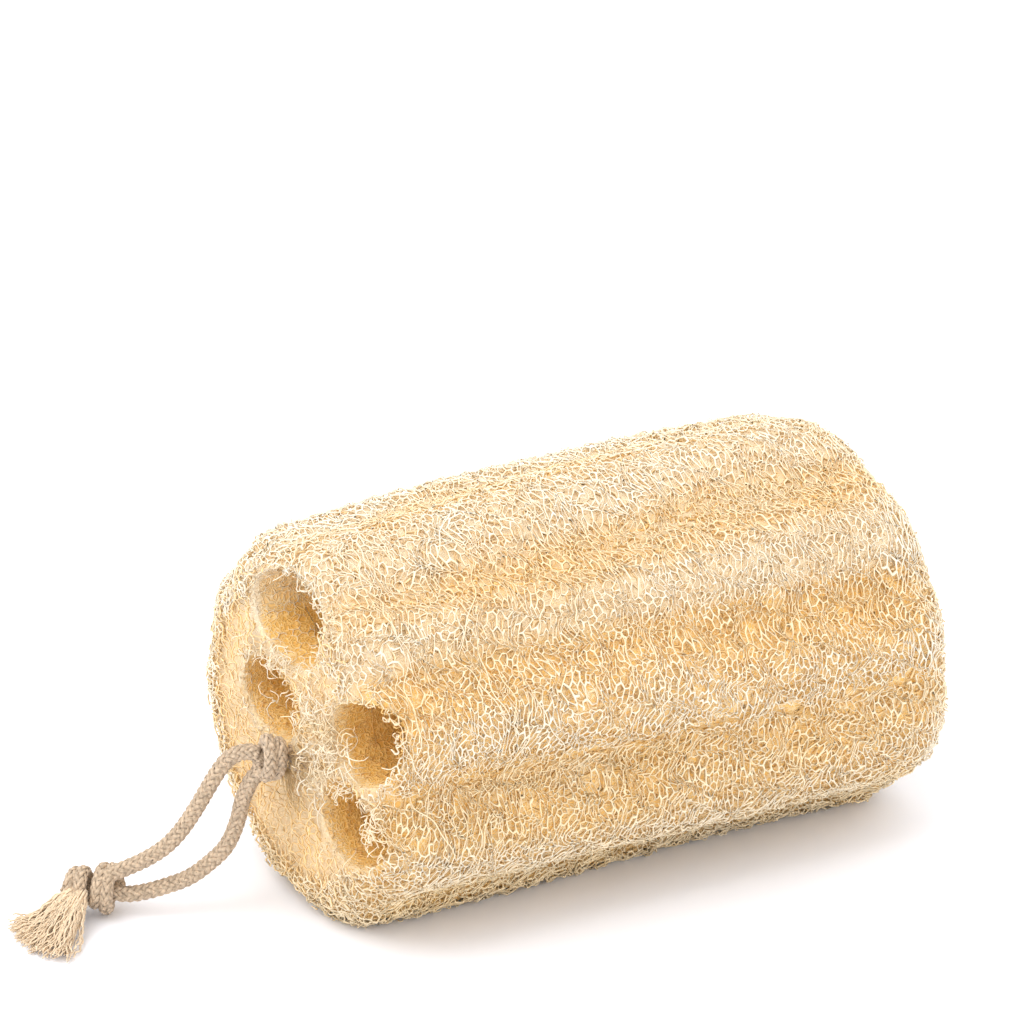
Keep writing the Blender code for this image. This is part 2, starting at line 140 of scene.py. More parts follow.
# How much the strands of a net differ in width, each joint's corners too, and in thickness.
WIDTH_RANGE = (0.65, 1.45)
CORNER_RANGE = (0.85, 1.15)
THICKNESS_RANGE = (0.8, 1.3)
# A joint's corner is at most this share of the way to its mesh's middle.
WIDEST_CORNER = 0.55
# How evenly the points of a net are spread: their scatter, and then how far each moves towards the middle
# of its neighbours.
SCATTER = 0.42
EVENING = 0.45
# Points within so many columns of a closed net's seam are repeated past it.
WRAP_MARGIN = 6
# How far the side nets drift sideways, and the wavelengths of that drift, of bumps and of ragged edges.
NET_DRIFT = 0.0011
DRIFT_FADE = 0.004
DRIFT_WAVE = 0.009
BUMP_WAVE = 0.0045
FINE_WAVE = 0.0016
END_BUMP_WAVE = 0.006
LINING_WAVE = 0.004
RAGGED_WAVE = 0.004
# The shares of strands that are missing, from most nets and from those on the ends.
NET_GAPS = 0.06
END_NET_GAPS = 0.12
# A net stops this share of a channel's size from its middle, with a ragged edge.
MOUTH_SHARE = 1.02
RAGGED = 0.07
# Past the rim, the side nets run on this far over the end face, give or take the second length.
SIDE_NET_OVERLAP = 0.0010
SIDE_NET_RAGGED = 0.0015
# Wide meshes: how many each side net has at random, their radii, how far they stay from the net's ends and
# seam, and the ring of points round each.
WIDE_MESHES = 60
WIDE_MESH_RADIUS = (0.0009, 0.0015)
WIDE_MESH_START = 0.03
WIDE_MESH_STOP = 0.02
SEAM_MARGIN = 0.01
HOLE_RING = 1.45
HOLE_CLEARANCE = 0.45
# Round meshes near the corded end: distance along the outside from where the side nets start, angle and
# radius.
ROUND_MESHES = (
    (0.0168, 48, 0.0017),
    (0.0206, 40, 0.0021),
    (0.0236, 31, 0.0026),
    (0.0122, 35, 0.0025),
    (0.0172, 36, 0.0016),
    (0.0260, 36, 0.0015),
)

# Torn fibres on the corded end: middle (across, height), half sizes, how many, and their length.
TORN_FIBRES = (
    ((-0.0250, 0.0490), (0.0080, 0.0035), 46, 0.0055),
    ((-0.0205, 0.0560), (0.0035, 0.0060), 30, 0.0050),
    ((-0.0395, 0.0375), (0.0025, 0.0050), 30, 0.0040),
    ((0.0020, 0.0595), (0.0100, 0.0022), 40, 0.0040),
    ((-0.0170, 0.0400), (0.0060, 0.0060), 24, 0.0045),
    ((-0.0130, 0.0530), (0.0050, 0.0060), 60, 0.0034),
    ((-0.0150, 0.0430), (0.0040, 0.0060), 26, 0.0036),
    ((-0.0240, 0.0400), (0.0060, 0.0025), 20, 0.0034),
    ((-0.0060, 0.0420), (0.0220, 0.0220), 30, 0.0055),
)

# The other loose fibres: how many, their lengths, and their widths as shares of a strand's. Their curl is
# a share of their length.
FIBRE_CURL = 0.22
MOUTH_FIBRES = 50
MOUTH_FIBRE_LENGTH = (0.0012, 0.0036)
# Which way a mouth fibre heads: towards the channel's middle, round its mouth, and out of the end.
MOUTH_FIBRE_INWARDS = (-1.0, 0.45)
MOUTH_FIBRE_BESIDE = 0.6
MOUTH_FIBRE_OUT = (-0.4, 0.7)
# A mouth fibre starts where its channel's wall first lies this deep, sought from outside the end inwards.
MOUTH_FIBRE_DEPTH = 0.0004
MOUTH_MARGIN = 0.004
MOUTH_SEARCH = 0.03
MOUTH_SEARCH_STEPS = 61
# Torn fibres: how they spread over their patch, how far they start out of the end face, how much they head
# outwards, and their lengths against their patch's.
TORN_SPREAD = 0.55
TORN_RISE = 0.001
TORN_OUTWARDS = 0.35
TORN_LENGTH_RANGE = (0.5, 1.3)
TORN_WIDTH = (0.32, 0.6)
TORN_STEPS = 7
# The brown fibres that the upper knot drags out of the end face, half of them beside it and half below.
KNOT_FIBRES = 60
KNOT_FIBRES_BESIDE = (-0.35, 0.45)
KNOT_FIBRES_BELOW = (-2.0, -0.9)
KNOT_FIBRE_START = 0.8
KNOT_FIBRE_RISE = 0.0008
KNOT_FIBRE_SCATTER = 0.0012
KNOT_FIBRE_INWARDS = 0.08
KNOT_FIBRE_LENGTH = (0.005, 0.0105)
KNOT_FIBRE_WIDTH = (0.2, 0.34)
KNOT_FIBRE_CURL = 0.05
# Long fibres run round the loofah, and this share of them is in a stretch near the corded rim. They lie
# over the net, dip into it at both ends, sway, and slope along the loofah.
LONG_FIBRES = 210
LONG_FIBRES_NEAR_RIM = 0.35
RIM_STRETCH = (0.008, 0.045)
LONG_FIBRE_LENGTH = (0.008, 0.026)
LONG_FIBRE_WIDTH = (0.32, 0.6)
LONG_FIBRE_STEPS = 22
LONG_FIBRE_START = 0.02
LONG_FIBRE_STOP = 0.01
LONG_FIBRE_SLOPE = 0.28
LONG_FIBRE_SWAY = 0.0006
LONG_FIBRE_CRIMP = 0.0004
LONG_FIBRE_RISE = 0.0002
LONG_FIBRE_DIP = 0.0005
LONG_FIBRE_FLATNESS = 0.8
LONG_FIBRE_MOUTH = 1.03
# Stray fibres arch out of the net, mostly round the loofah, and this share of them has one end freer.
STRAY_FIBRE_LENGTH = (0.002, 0.0046)
STRAY_FIBRE_WIDTH = (0.3, 0.5)
STRAY_FIBRE_STEPS = 5
STRAY_FIBRE_DEPTH = 0.0004
STRAY_FIBRE_RISE = 0.0002
STRAY_FIBRE_ARCH = (0.0002, 0.0011)
STRAY_FIBRE_MARGIN = 0.003
STRAY_FIBRE_TURN = 0.9
STRAY_FIBRE_BEND = 1.6
STRAY_FIBRE_MOUTH = 1.0
STRAY_FIBRES_FREE = 0.3

# Tones: 1 is the palest fibre and 0 the most golden. Painted shade: a groove is golden at its angle and
# just below it on the near side, and the low side near the floor is more golden than the rest.
GROOVE_PAINTED_SHADE = 0.88
PAINTED_SHADE_BELOW_GROOVE = 5
FULL_GROOVE = 0.0043
LOW_SIDE_PAINTED_SHADE = 0.8
LOW_SIDE_HEIGHT = 0.040
# Painted shade on a strand's flanks and on the loose fibres, and the tones of the end nets in their middle
# and towards the rim.
FLANK_PAINTED_SHADE = 0.06
LOOSE_PAINTED_SHADE = 0.52
END_TONE = 0.52
END_RIM_TONE = 0.55
END_RIM_WIDTH = 0.013
# The channels are golden past this depth with painted shade. The upper one, this high over the axis, has
# painted light that makes it paler than the rest.
CAVITY_DEPTH = 0.0020
CAVITY_FADE = 0.0050
UPPER_CHANNEL_HEIGHT = 0.0225
UPPER_CHANNEL_FADE = 0.0040
UPPER_CHANNEL_PAINTED_LIGHT = 0.6
UPPER_CHANNEL_PAINTED_SHADE = 0.1
# The core's tone against its channels': what it loses, and gains below the ribs and on the end faces.
CORE_TONE_LOSS = 0.25
CORE_RIB_TONE = 0.5
CORE_RIB_WIDTH = 0.011
CORE_END_TONE = 0.75
CORE_END_FADE = 0.0015
CORE_RIM_WIDTH = 0.006
CORE_RIM_FADE = 0.004
# Painted shade in the gaps of the felted fibre: shares of red, green and blue that are left there.
PAINTED_GAP_SHADE = (0.92, 0.85, 0.70)
# What makes a strand pale: its tone, which carries painted shade and light, broad patches, and speckle.
TONE_WEIGHTS = (0.56, 0.28, 0.16)
FULL_TONE = 0.75
BROWN_FIBRE = ((0.50, 0.34, 0.17), (0.72, 0.52, 0.28))

# The cord's radius, the points of its route, and its strands' thickness, width and flatness as shares.
CORD_RADIUS = 0.00185
ROUTE_SPACING = 0.001
BRAID_THICKNESS = 0.25
BRAID_COVER = 0.76
BRAID_FLATNESS = 0.62
STRAND_SPACING = 0.00050
LOOP_STRAND_SPACING = 0.0008
# The knots' middles and half sizes.
UPPER_KNOT = Vector((-0.0802, -0.0037, 0.0398))
UPPER_KNOT_HALF = (0.0038, 0.0042, 0.0057)
LOWER_KNOT = Vector((-0.1151, 0.0170, 0.0062))
LOWER_KNOT_HALF = (0.0076, 0.0058, 0.0060)
LOWER_KNOT_TURN = math.radians(59)
LOWER_KNOT_AXIS = (-math.sin(LOWER_KNOT_TURN), math.cos(LOWER_KNOT_TURN), 0.0)
# The wraps of each knot: its middle, its half sizes along its axis, beside it and up, the axis, how many
# wraps, where the first starts as a share of a turn, and how far it is pinched between two bulges.
KNOTS = (
    ("upper", UPPER_KNOT, UPPER_KNOT_HALF, (1.0, 0.0, 0.0), 2.0, 0.4, 0.0),
    ("lower", LOWER_KNOT, LOWER_KNOT_HALF, LOWER_KNOT_AXIS, 3.7, 0.9, 0.55),
)
KNOT_CORD_RADIUS = 0.00168
WRAP_STEPS = 60
# The ends of the wraps tuck in to this share of their size. A waist parts a large bulge from a smaller one.
TUCK_RATE = 3.5
TUCKED_SIZE = 0.35
WAIST_PLACE = 0.53
WAIST_LENGTH = 0.07
SECOND_BULGE_LOSS = 0.45
BULGE_CROWDING = 0.22
# The cord's two legs, from the upper knot to the lower one.
UPPER_LEG = (
    (-0.0820, -0.0022, 0.0404),
    (-0.0846, -0.0003, 0.0407),
    (-0.0875, 0.0014, 0.0392),
    (-0.0898, 0.0025, 0.0362),
    (-0.0923, 0.0033, 0.0319),
    (-0.0951, 0.0043, 0.0268),
    (-0.0982, 0.0056, 0.0217),
    (-0.1015, 0.0072, 0.0177),
    (-0.1053, 0.0095, 0.0145),
    (-0.1094, 0.0120, 0.0120),
    (-0.1128, 0.0142, 0.0101),
)
LOWER_LEG = (
    (-0.0812, -0.0028, 0.0372),
    (-0.0833, -0.0011, 0.0342),
    (-0.0844, -0.0002, 0.0313),
    (-0.0856, 0.0002, 0.0280),
    (-0.0868, 0.0002, 0.0236),
    (-0.0894, 0.0007, 0.0180),
    (-0.0932, 0.0026, 0.0135),
    (-0.0971, 0.0050, 0.0099),
    (-0.1018, 0.0081, 0.0074),
    (-0.1059, 0.0105, 0.0059),
    (-0.1092, 0.0124, 0.0054),
    (-0.1125, 0.0148, 0.0058),
)
LEGS = (("upper", UPPER_LEG), ("lower", LOWER_LEG))
# The hidden loop: pairs of depth behind the end face and half width, its far end, and the heights of its
# two ends.
LOOP_HALF = ((-0.0012, 0.0029), (0.0020, 0.0031), (0.0052, 0.0044), (0.0085, 0.0054), (0.0118, 0.0046))
LOOP_END_DEPTH = 0.0140
LOOP_ACROSS = -0.0038
LOOP_HEIGHTS = (0.0388, 0.0352)

# The tassel: its middle heading, how wide it fans, its reach from side to side, and its root.
TASSEL_HEADING = math.radians(-157)
TASSEL_FAN = math.radians(64)
TASSEL_REACH = (0.0142, 0.0205)
TASSEL_ROOT_DISTANCE = 0.0048
TASSEL_ROOT_WIDTH = 0.0045
TASSEL_ROOT_HEIGHT = 0.0036
YARN_RADIUS = 0.00027
YARN_STRAYING = 0.12
YARN_UNEVENNESS = (-0.003, 0.001)
YARN_SWAY = (0.0003, 0.0009)
YARN_CRIMP = 0.00022
YARN_STEPS = 20

# The seeds of all that is random.
SIDE_NET_SEED = 7
END_NET_SEED = 9
STRAY_FIBRE_SEED = 13
LINING_SEED = 17
TORN_FIBRE_SEED = 19
LONG_FIBRE_SEED = 23
TASSEL_SEED = 31

# The camera: where it stands, how far it is turned from +Y towards +X, and how far it looks down.
CAMERA_PLACE = Vector((-0.4323, -0.7741, 0.4594))
CAMERA_TURN = math.radians(28.18)
CAMERA_DOWN = math.radians(23.11)
CAMERA_LENS = 150.0
SENSOR = 36.0

# The two soft lights, which point at the loofah's middle.
LIGHT_TARGET = Vector((0.0, 0.0, 0.04))
KEY_PLACE = Vector((-0.62, -0.02, 0.95))
KEY_SIZE = 0.7
FILL_PLACE = Vector((0.5, -0.9, 0.7))
FILL_SIZE = 0.9
FLOOR_SIZE = 8.0


class LoofahSettings(bpy.types.PropertyGroup):
    """Sizes and colours of the loofah's fibre."""

    outer_cell: FloatProperty(
        name="Outer cell", description="Width of the meshes of the outer net",
        default=0.00165, min=0.001, max=0.01, precision=5, unit="LENGTH")
    under_cell: FloatProperty(
        name="Under cell", description="Width of the meshes of the net below it",
        default=0.00220, min=0.001, max=0.01, precision=5, unit="LENGTH")
    end_cell: FloatProperty(
        name="End cell", description="Width of the meshes of the nets on the end faces",
        default=0.00190, min=0.001, max=0.01, precision=5, unit="LENGTH")
    strand_width: FloatProperty(
        name="Strand width", description="Width of a strand of fibre",
        default=0.00036, min=0.0001, max=0.002, precision=5, unit="LENGTH")
    stray_fibres: IntProperty(
        name="Stray fibres", description="How many loose fibres curl out of the outer net",
        default=3000, min=0, max=8000)
    crest_colour: FloatVectorProperty(
        name="Crest colour", description="The palest fibre", subtype="COLOR", size=3,
        default=(0.965, 0.895, 0.765), min=0.0, max=1.0)
    fibre_colour: FloatVectorProperty(
        name="Fibre colour", description="The usual fibre", subtype="COLOR", size=3,
        default=(0.95, 0.74, 0.43), min=0.0, max=1.0)
    # Painted shade: the depth colour is the golden colour that stands in for the warm shade deep among the
    # fibres.
    deep_shade_colour: FloatVectorProperty(
        name="Depth colour", description="The golden fibre deep inside", subtype="COLOR", size=3,
        default=(0.96, 0.63, 0.23), min=0.0, max=1.0)


class CordSettings(bpy.types.PropertyGroup):
    """Sizes and colours of the braided cord."""

    strands: IntProperty(
        name="Strands each way", description="Strands that wind each way round the cord",
        default=8, min=4, max=16, step=4)
    braid_pitch: FloatProperty(
        name="Braid pitch", description="Length of cord in which a strand goes once round",
        default=0.0135, min=0.004, max=0.03, precision=4, unit="LENGTH")
    yarns: IntProperty(
        name="Tassel yarns", description="Frayed yarns past the lower knot",
        default=190, min=10, max=300)
    cord_colour: FloatVectorProperty(
        name="Cord colour", description="The braid", subtype="COLOR", size=3,
        default=(0.57, 0.435, 0.305), min=0.0, max=1.0)
    yarn_colour: FloatVectorProperty(
        name="Yarn colour", description="The frayed yarns", subtype="COLOR", size=3,
        default=(0.76, 0.60, 0.42), min=0.0, max=1.0)


class StageSettings(bpy.types.PropertyGroup):
    """Floor and light of the studio."""

    floor_colour: FloatVectorProperty(
        name="Floor colour", description="The pale floor", subtype="COLOR", size=3,
        default=(0.93, 0.94, 0.99), min=0.0, max=1.0)
    key_power: FloatProperty(
        name="Key light", description="Power of the soft key light",
        default=4.5, min=0.0, max=500.0, unit="POWER")
    fill_power: FloatProperty(
        name="Fill light", description="Power of the soft fill light",
        default=2.0, min=0.0, max=500.0, unit="POWER")
    sky_strength: FloatProperty(
        name="Sky strength", description="Strength of the even white surroundings",
        default=1.31, min=0.0, max=5.0)


def smooth_step(value):
    """A soft step from 0 to 1 as the value goes from 0 to 1."""
    value = np.clip(value, 0.0, 1.0)
    return value * value * (3 - 2 * value)


def plain_radius(x):
    """The loofah's radius over its ribs: it widens from end to end and has a slight belly."""
    along = x / LENGTH + 0.5
    taper = CORD_END_RADIUS + (FAR_END_RADIUS - CORD_END_RADIUS) * along
    return taper + BELLY * 4 * along * (1 - along)


def axis_height(x):
    """How high the loofah's axis lies over the floor, with its lowest ribs pressed flat."""
    return AXIS_HEIGHT_SHARE * plain_radius(x)


def above_axis(points):
    """How far points lie above the loofah's axis."""
    return points[..., 2] - axis_height(points[..., 0])


def rim_rounding(x):
    """The radius that rounds the nearer rim."""
    return np.where(x < 0, CORD_END_ROUNDING, FAR_END_ROUNDING)


def from_rim(points):
    """About how far points are in from the loofah's side."""
    return plain_radius(points[:, 0]) - np.hypot(points[:, 1], above_axis(points))


def groove_depth(x, angle):
    """How far the surface sinks between the ribs at these angles, in degrees."""
    along = x / LENGTH + 0.5
    total = 0.0
    for place, depth, half_width in GROOVES:
        wander = GROOVE_WANDER * np.sin(math.tau * GROOVE_WAVES * along + place)
        off = (angle - place - wander + 180) % 360 - 180
        swell = 1 + GROOVE_SWELL * np.sin(math.tau * along + 0.05 * place)
        total = total + depth * swell * np.exp(-((off / half_width) ** 2))
    fade = smooth_step((LENGTH / 2 - np.abs(x)) / GROOVE_FADE_LENGTH)
    return total * (GROOVE_AT_RIM + (1 - GROOVE_AT_RIM) * fade)


def end_slant(x, across, up):
    """How far points move along X because the ends are cut out of square."""
    near_end = smooth_step((np.abs(x) - LENGTH / 2 + SLANTED_LENGTH) / SLANTED_LENGTH)
    cord_end = CORD_END_SLANT[0] * across + CORD_END_SLANT[1] * up
    far_end = FAR_END_SLANT[0] * across + FAR_END_SLANT[1] * up
    return near_end * np.where(x < 0, cord_end, far_end)


def side_points(x, share, lean, angle, depth):
    """Points of the outside, as in the solid model: depth sinks them, and lean tells which way."""
    outer = plain_radius(x) * share - groove_depth(x, angle) * share ** 2
    turn = np.radians(angle)
    pressed = np.maximum(FLOOR_CLEARANCE - axis_height(x) - outer * np.sin(turn), 0)
    radius = outer - depth * np.cos(lean)
    across = -radius * np.cos(turn)
    up = radius * np.sin(turn)
    height = np.maximum(axis_height(x) + up + pressed, FLOOR_CLEARANCE)
    along = x - depth * np.sin(lean) + end_slant(x, across, up)
    return np.stack([along, across, height], axis=-1)


def meridian_table(steps=60):
    """The line from end face to end face over both rims: distances along it, x, radius share, lean."""
    rows = []
    for end, rounding, radius in ((-1, CORD_END_ROUNDING, CORD_END_RADIUS),
                                  (1, FAR_END_ROUNDING, FAR_END_RADIUS)):
        share = 1 - rounding / radius
        part = [(0.0, end * LENGTH / 2, share - FACE_MARGIN / radius, end * math.pi / 2)]
        for k in range(steps + 1):
            turn = math.pi / 2 * k / steps
            part.append((FACE_MARGIN + rounding * turn,
                         end * (LENGTH / 2 - rounding * (1 - math.cos(turn))),
                         1 - rounding * (1 - math.sin(turn)) / radius,
                         end * (math.pi / 2 - turn)))
        rows.append(part)
    first, last = rows
    side = LENGTH - CORD_END_ROUNDING - FAR_END_ROUNDING
    total = first[-1][0] + side + last[-1][0]
    table = first + [(total - d, x, share, lean) for d, x, share, lean in reversed(last)]
    return total, np.array(table).T


MERIDIAN, MERIDIAN_TABLE = meridian_table()
AROUND = math.tau * (CORD_END_RADIUS + FAR_END_RADIUS) / 2


def outside(distance, around, depth):
    """Points of the outside at distances along the meridian and round the loofah."""
    d, x, share, lean = MERIDIAN_TABLE
    angle = np.degrees(around / AROUND * math.tau)
    return side_points(np.interp(distance, d, x), np.interp(distance, d, share),
                       np.interp(distance, d, lean), angle, depth)


def sunk(points):
    """About how far points lie below the loofah's outside, as it is before its channels are cut."""
    across = points[..., 1]
    up = above_axis(points)
    x = points[..., 0] - end_slant(points[..., 0], across, up)
    radius = plain_radius(x)
    out = np.hypot(across, up) + groove_depth(x, np.degrees(np.arctan2(up, -across)))
    rounding = rim_rounding(x)
    past = np.abs(x) - (LENGTH / 2 - rounding)
    beyond = out - (radius - rounding)
    corner = rounding - np.hypot(past, beyond)
    return np.where((past > 0) & (beyond > 0), corner, np.minimum(LENGTH / 2 - np.abs(x), radius - out))


def channel_line(sizes, x):
    """Centre and half sizes of a channel at places along X, a little wider at its mouths."""
    start, start_half, end, end_half = (np.array(size) for size in sizes)
    x = np.asarray(x)
    along = np.clip(x / LENGTH + 0.5, 0, 1)[..., None]
    flare = np.clip(1 - (LENGTH / 2 - np.abs(x)) / FLARE_LENGTH, 0, 1)[..., None] * MOUTH_FLARE
    return start + (end - start) * along, start_half + (end_half - start_half) * along + flare


def channel_share(points):
    """How far points are out from the middle of the nearest channel, with 1 on its wall."""
    up = above_axis(points)
    shares = []
    for sizes in CHANNELS:
        centre, half = channel_line(sizes, points[..., 0])
        shares.append(np.hypot((points[..., 1] - centre[..., 0]) / half[..., 0],
                               (up - centre[..., 1]) / half[..., 1]))
    return np.min(shares, axis=0)


def waves(rng, wavelength, count=10):
    """A smooth random function of two lengths, about from -1 to 1."""
    turns = rng.uniform(0, math.tau, count)
    sizes = math.tau / wavelength * rng.uniform(0.6, 1.5, count)
    phases = rng.uniform(0, math.tau, count)

    def value(u, v):
        total = 0.0
        for turn, size, phase in zip(turns, sizes, phases):
            total = total + np.sin(size * (u * math.cos(turn) + v * math.sin(turn)) + phase)
        return total / math.sqrt(count)
    return value


def painted_shade_paleness(points):
    """Painted shade: how pale fibre is at these points: 1 on the ribs, and less in the grooves and on the
    low side.
    """
    angle = np.degrees(np.arctan2(above_axis(points), -points[:, 1]))
    groove = groove_depth(points[:, 0], angle + PAINTED_SHADE_BELOW_GROOVE)
    low = 1 - LOW_SIDE_PAINTED_SHADE * (1 - smooth_step(points[:, 2] / LOW_SIDE_HEIGHT))
    return (1 - GROOVE_PAINTED_SHADE * smooth_step(groove / FULL_GROOVE)) * low


def cavity_shade_and_light(points):
    """How pale fibre is by its depth: painted shade makes it golden inside the channels and less so in the
    upper one, where painted light makes it paler too.
    """
    upper = smooth_step((above_axis(points) - UPPER_CHANNEL_HEIGHT) / UPPER_CHANNEL_FADE)
    golden = 1 - (1 - UPPER_CHANNEL_PAINTED_SHADE) * upper
    deep = smooth_step((sunk(points) - CAVITY_DEPTH) / CAVITY_FADE)
    return 1 + UPPER_CHANNEL_PAINTED_LIGHT * upper - golden * deep


def core_tone(points):
    """How pale the felted core is: it takes its channels' painted shade and light, and is paler below the
    ribs, which carry the grooves' painted shade, and on the end faces.
    """
    rib = painted_shade_paleness(points) * (1 - smooth_step(from_rim(points) / CORE_RIB_WIDTH))
    on_end = 1 - smooth_step((sunk(points) - CORE_DEPTH) / CORE_END_FADE)
    on_end = on_end * smooth_step((from_rim(points) - CORE_RIM_WIDTH) / CORE_RIM_FADE)
    return cavity_shade_and_light(points) - CORE_TONE_LOSS + CORE_RIB_TONE * rib + CORE_END_TONE * on_end


def end_tone(points):
    """How pale the end nets are: paler towards the rim."""
    return END_TONE + END_RIM_TONE * (1 - smooth_step(from_rim(points) / END_RIM_WIDTH))


def set_tone(mesh, tone):
    """Stores for each point of a mesh how pale its fibre is, a tone that carries painted shade and light.
    """
    mesh.attributes.new("tone", "FLOAT", "POINT").data.foreach_set("value", tone.astype(np.float32))


def mesh_object(name, points, faces, material, slot, tone=None):
    """A mesh piece from arrays of points and of faces, which may be triangles and quads.

    Tone says for each point how pale its fibre is, and carries painted shade and light.
    """
    sizes = [np.full(len(part), part.shape[1]) for part in faces]
    totals = np.concatenate(sizes)
    corners = np.concatenate([part.ravel() for part in faces])
    mesh = bpy.data.meshes.new(name)
    mesh.vertices.add(len(points))
    mesh.vertices.foreach_set("co", np.asarray(points, dtype=np.float32).ravel())
    mesh.loops.add(len(corners))
    mesh.loops.foreach_set("vertex_index", corners.astype(np.int32))
    mesh.polygons.add(len(totals))
    starts = np.concatenate([[0], np.cumsum(totals)[:-1]])
    mesh.polygons.foreach_set("loop_start", starts.astype(np.int32))
    mesh.polygons.foreach_set("use_smooth", np.full(len(totals), True))
    mesh.update(calc_edges=True)
    if tone is not None:
        set_tone(mesh, tone)
    return placed(bpy.data.objects.new(name, mesh), material)


def placed(made, material):
    """Links a piece, gives it its finish, and makes it ride with the part."""
    bpy.context.scene.collection.objects.link(made)
    made.data.materials.clear()
    made.data.materials.append(material)
    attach(made, "root")
    return made


def lattice(length, around, cell, stretch, rng, closed=False, holes=()):
    """Uneven points in rows, as (row place, column place), and the size of one unit each way.

    Closed joins the last column to the first. Each hole, a place and a radius, becomes one wide mesh.
    """
    cell_around = cell * math.sqrt(stretch)
    row_height = math.sqrt(3) / 2
    columns = max(8, round(around / cell_around))
    rows = max(3, round(length / (cell / math.sqrt(stretch) * row_height)))
    row, column = np.meshgrid(np.arange(rows + 1), np.arange(columns), indexing="ij")
    sites = np.stack([row * row_height, column + 0.5 * (row % 2)], axis=-1).reshape(-1, 2)
    sites = sites + rng.uniform(-SCATTER, SCATTER, sites.shape)
    sites[:, 0] = np.clip(sites[:, 0], 0, rows * row_height)
    sites[:, 1] %= columns
    seam = columns if closed else None
    places, numbers = triangles_of(sites, seam)
    pull = np.zeros_like(sites)
    count = np.zeros(len(sites))
    np.add.at(pull, numbers, places.sum(axis=1, keepdims=True) - 3 * places)
    np.add.at(count, numbers, 2)
    sites = sites + EVENING * pull / np.maximum(count, 1)[:, None]
    if closed:
        sites[:, 1] %= columns
    scale = np.array([length / (rows * row_height), around / columns])
    where = sites * scale
    kept = np.ones(len(sites), dtype=bool)
    rings = []
    for u, v, radius in holes:
        ring_radius = HOLE_RING * radius
        kept &= np.hypot(where[:, 0] - u, where[:, 1] - v) > ring_radius + HOLE_CLEARANCE * cell
        turns = np.linspace(0, math.tau, max(7, round(math.tau * ring_radius / cell)) + 1)[:-1]
        ring = np.stack([u + ring_radius * np.cos(turns), v + ring_radius * np.sin(turns)], 1)
        rings.append(np.concatenate([[[u, v]], ring]) / scale)
    return np.concatenate([sites[kept]] + rings), seam, scale


def triangles_of(sites, columns=None):
    """Delaunay triangles of the sites, counter-clockwise: their corners' places and site numbers."""
    numbers = np.arange(len(sites))
    spread = sites
    if columns:
        low = sites[:, 1] < WRAP_MARGIN
        high = sites[:, 1] > columns - WRAP_MARGIN
        spread = np.concatenate([sites, sites[low] + (0, columns), sites[high] - (0, columns)])
        numbers = np.concatenate([numbers, numbers[low], numbers[high]])
    _, _, faces, _, _, _ = delaunay_2d_cdt([Vector(p) for p in spread.tolist()], [], [], 0, 1e-9, False)
    faces = np.array([f[:3] for f in faces])
    places = spread[faces]
    one = places[:, 1] - places[:, 0]
    two = places[:, 2] - places[:, 0]
    area = one[:, 0] * two[:, 1] - one[:, 1] * two[:, 0]
    backwards = area < 0
    faces[backwards] = faces[backwards][:, ::-1]
    faces = faces[np.abs(area) > 1e-6]
    places = spread[faces]
    if columns:
        middle = places.mean(axis=1)[:, 1]
        kept = (middle >= 0) & (middle < columns)
        faces = faces[kept]
        places = places[kept]
    return places, numbers[faces]


def net(places, numbers, scale, surface, rng, width, thickness, bumps, missing=NET_GAPS, keep=None,
        shade=painted_shade_paleness):
    """A net of closed three-sided strands, one across each edge between two triangles.

    The surface takes two lengths and a depth and gives points. Bumps gives each joint its depth. Keep
    tells, from the points, which joints there are, and shade how pale they are.
    """
    middles = places.mean(axis=1)
    lift = bumps(middles[:, 0] * scale[0], middles[:, 1] * scale[1])
    tops = surface(middles[:, 0] * scale[0], middles[:, 1] * scale[1], lift)
    if keep is not None:
        there = keep(tops)
        places, numbers, middles = places[there], numbers[there], middles[there]
        lift, tops = lift[there], tops[there]
    count = len(middles)
    towards = places - middles[:, None, :]
    reach = np.linalg.norm(towards * scale, axis=2)
    inset = width / 2 / math.sin(math.pi / 3) * rng.uniform(*WIDTH_RANGE, (count, 1))
    inset = np.minimum(inset * rng.uniform(*CORNER_RANGE, (count, 3)) / reach, WIDEST_CORNER)
    corners = middles[:, None, :] + towards * inset[:, :, None]
    deep = thickness * rng.uniform(*THICKNESS_RANGE, count)
    lows = surface((corners[:, :, 0] * scale[0]).ravel(), (corners[:, :, 1] * scale[1]).ravel(),
                   np.repeat(lift + deep, 3))
    points = np.concatenate([tops, lows])
    # Painted shade: the tops keep the tone and the low corners take the flanks' tone, so each strand
    # darkens towards its underside.
    tone = np.concatenate([np.ones(count), np.full(3 * count, FLANK_PAINTED_SHADE)]) * shade(points)
    return points, net_faces(numbers, rng, missing), tone


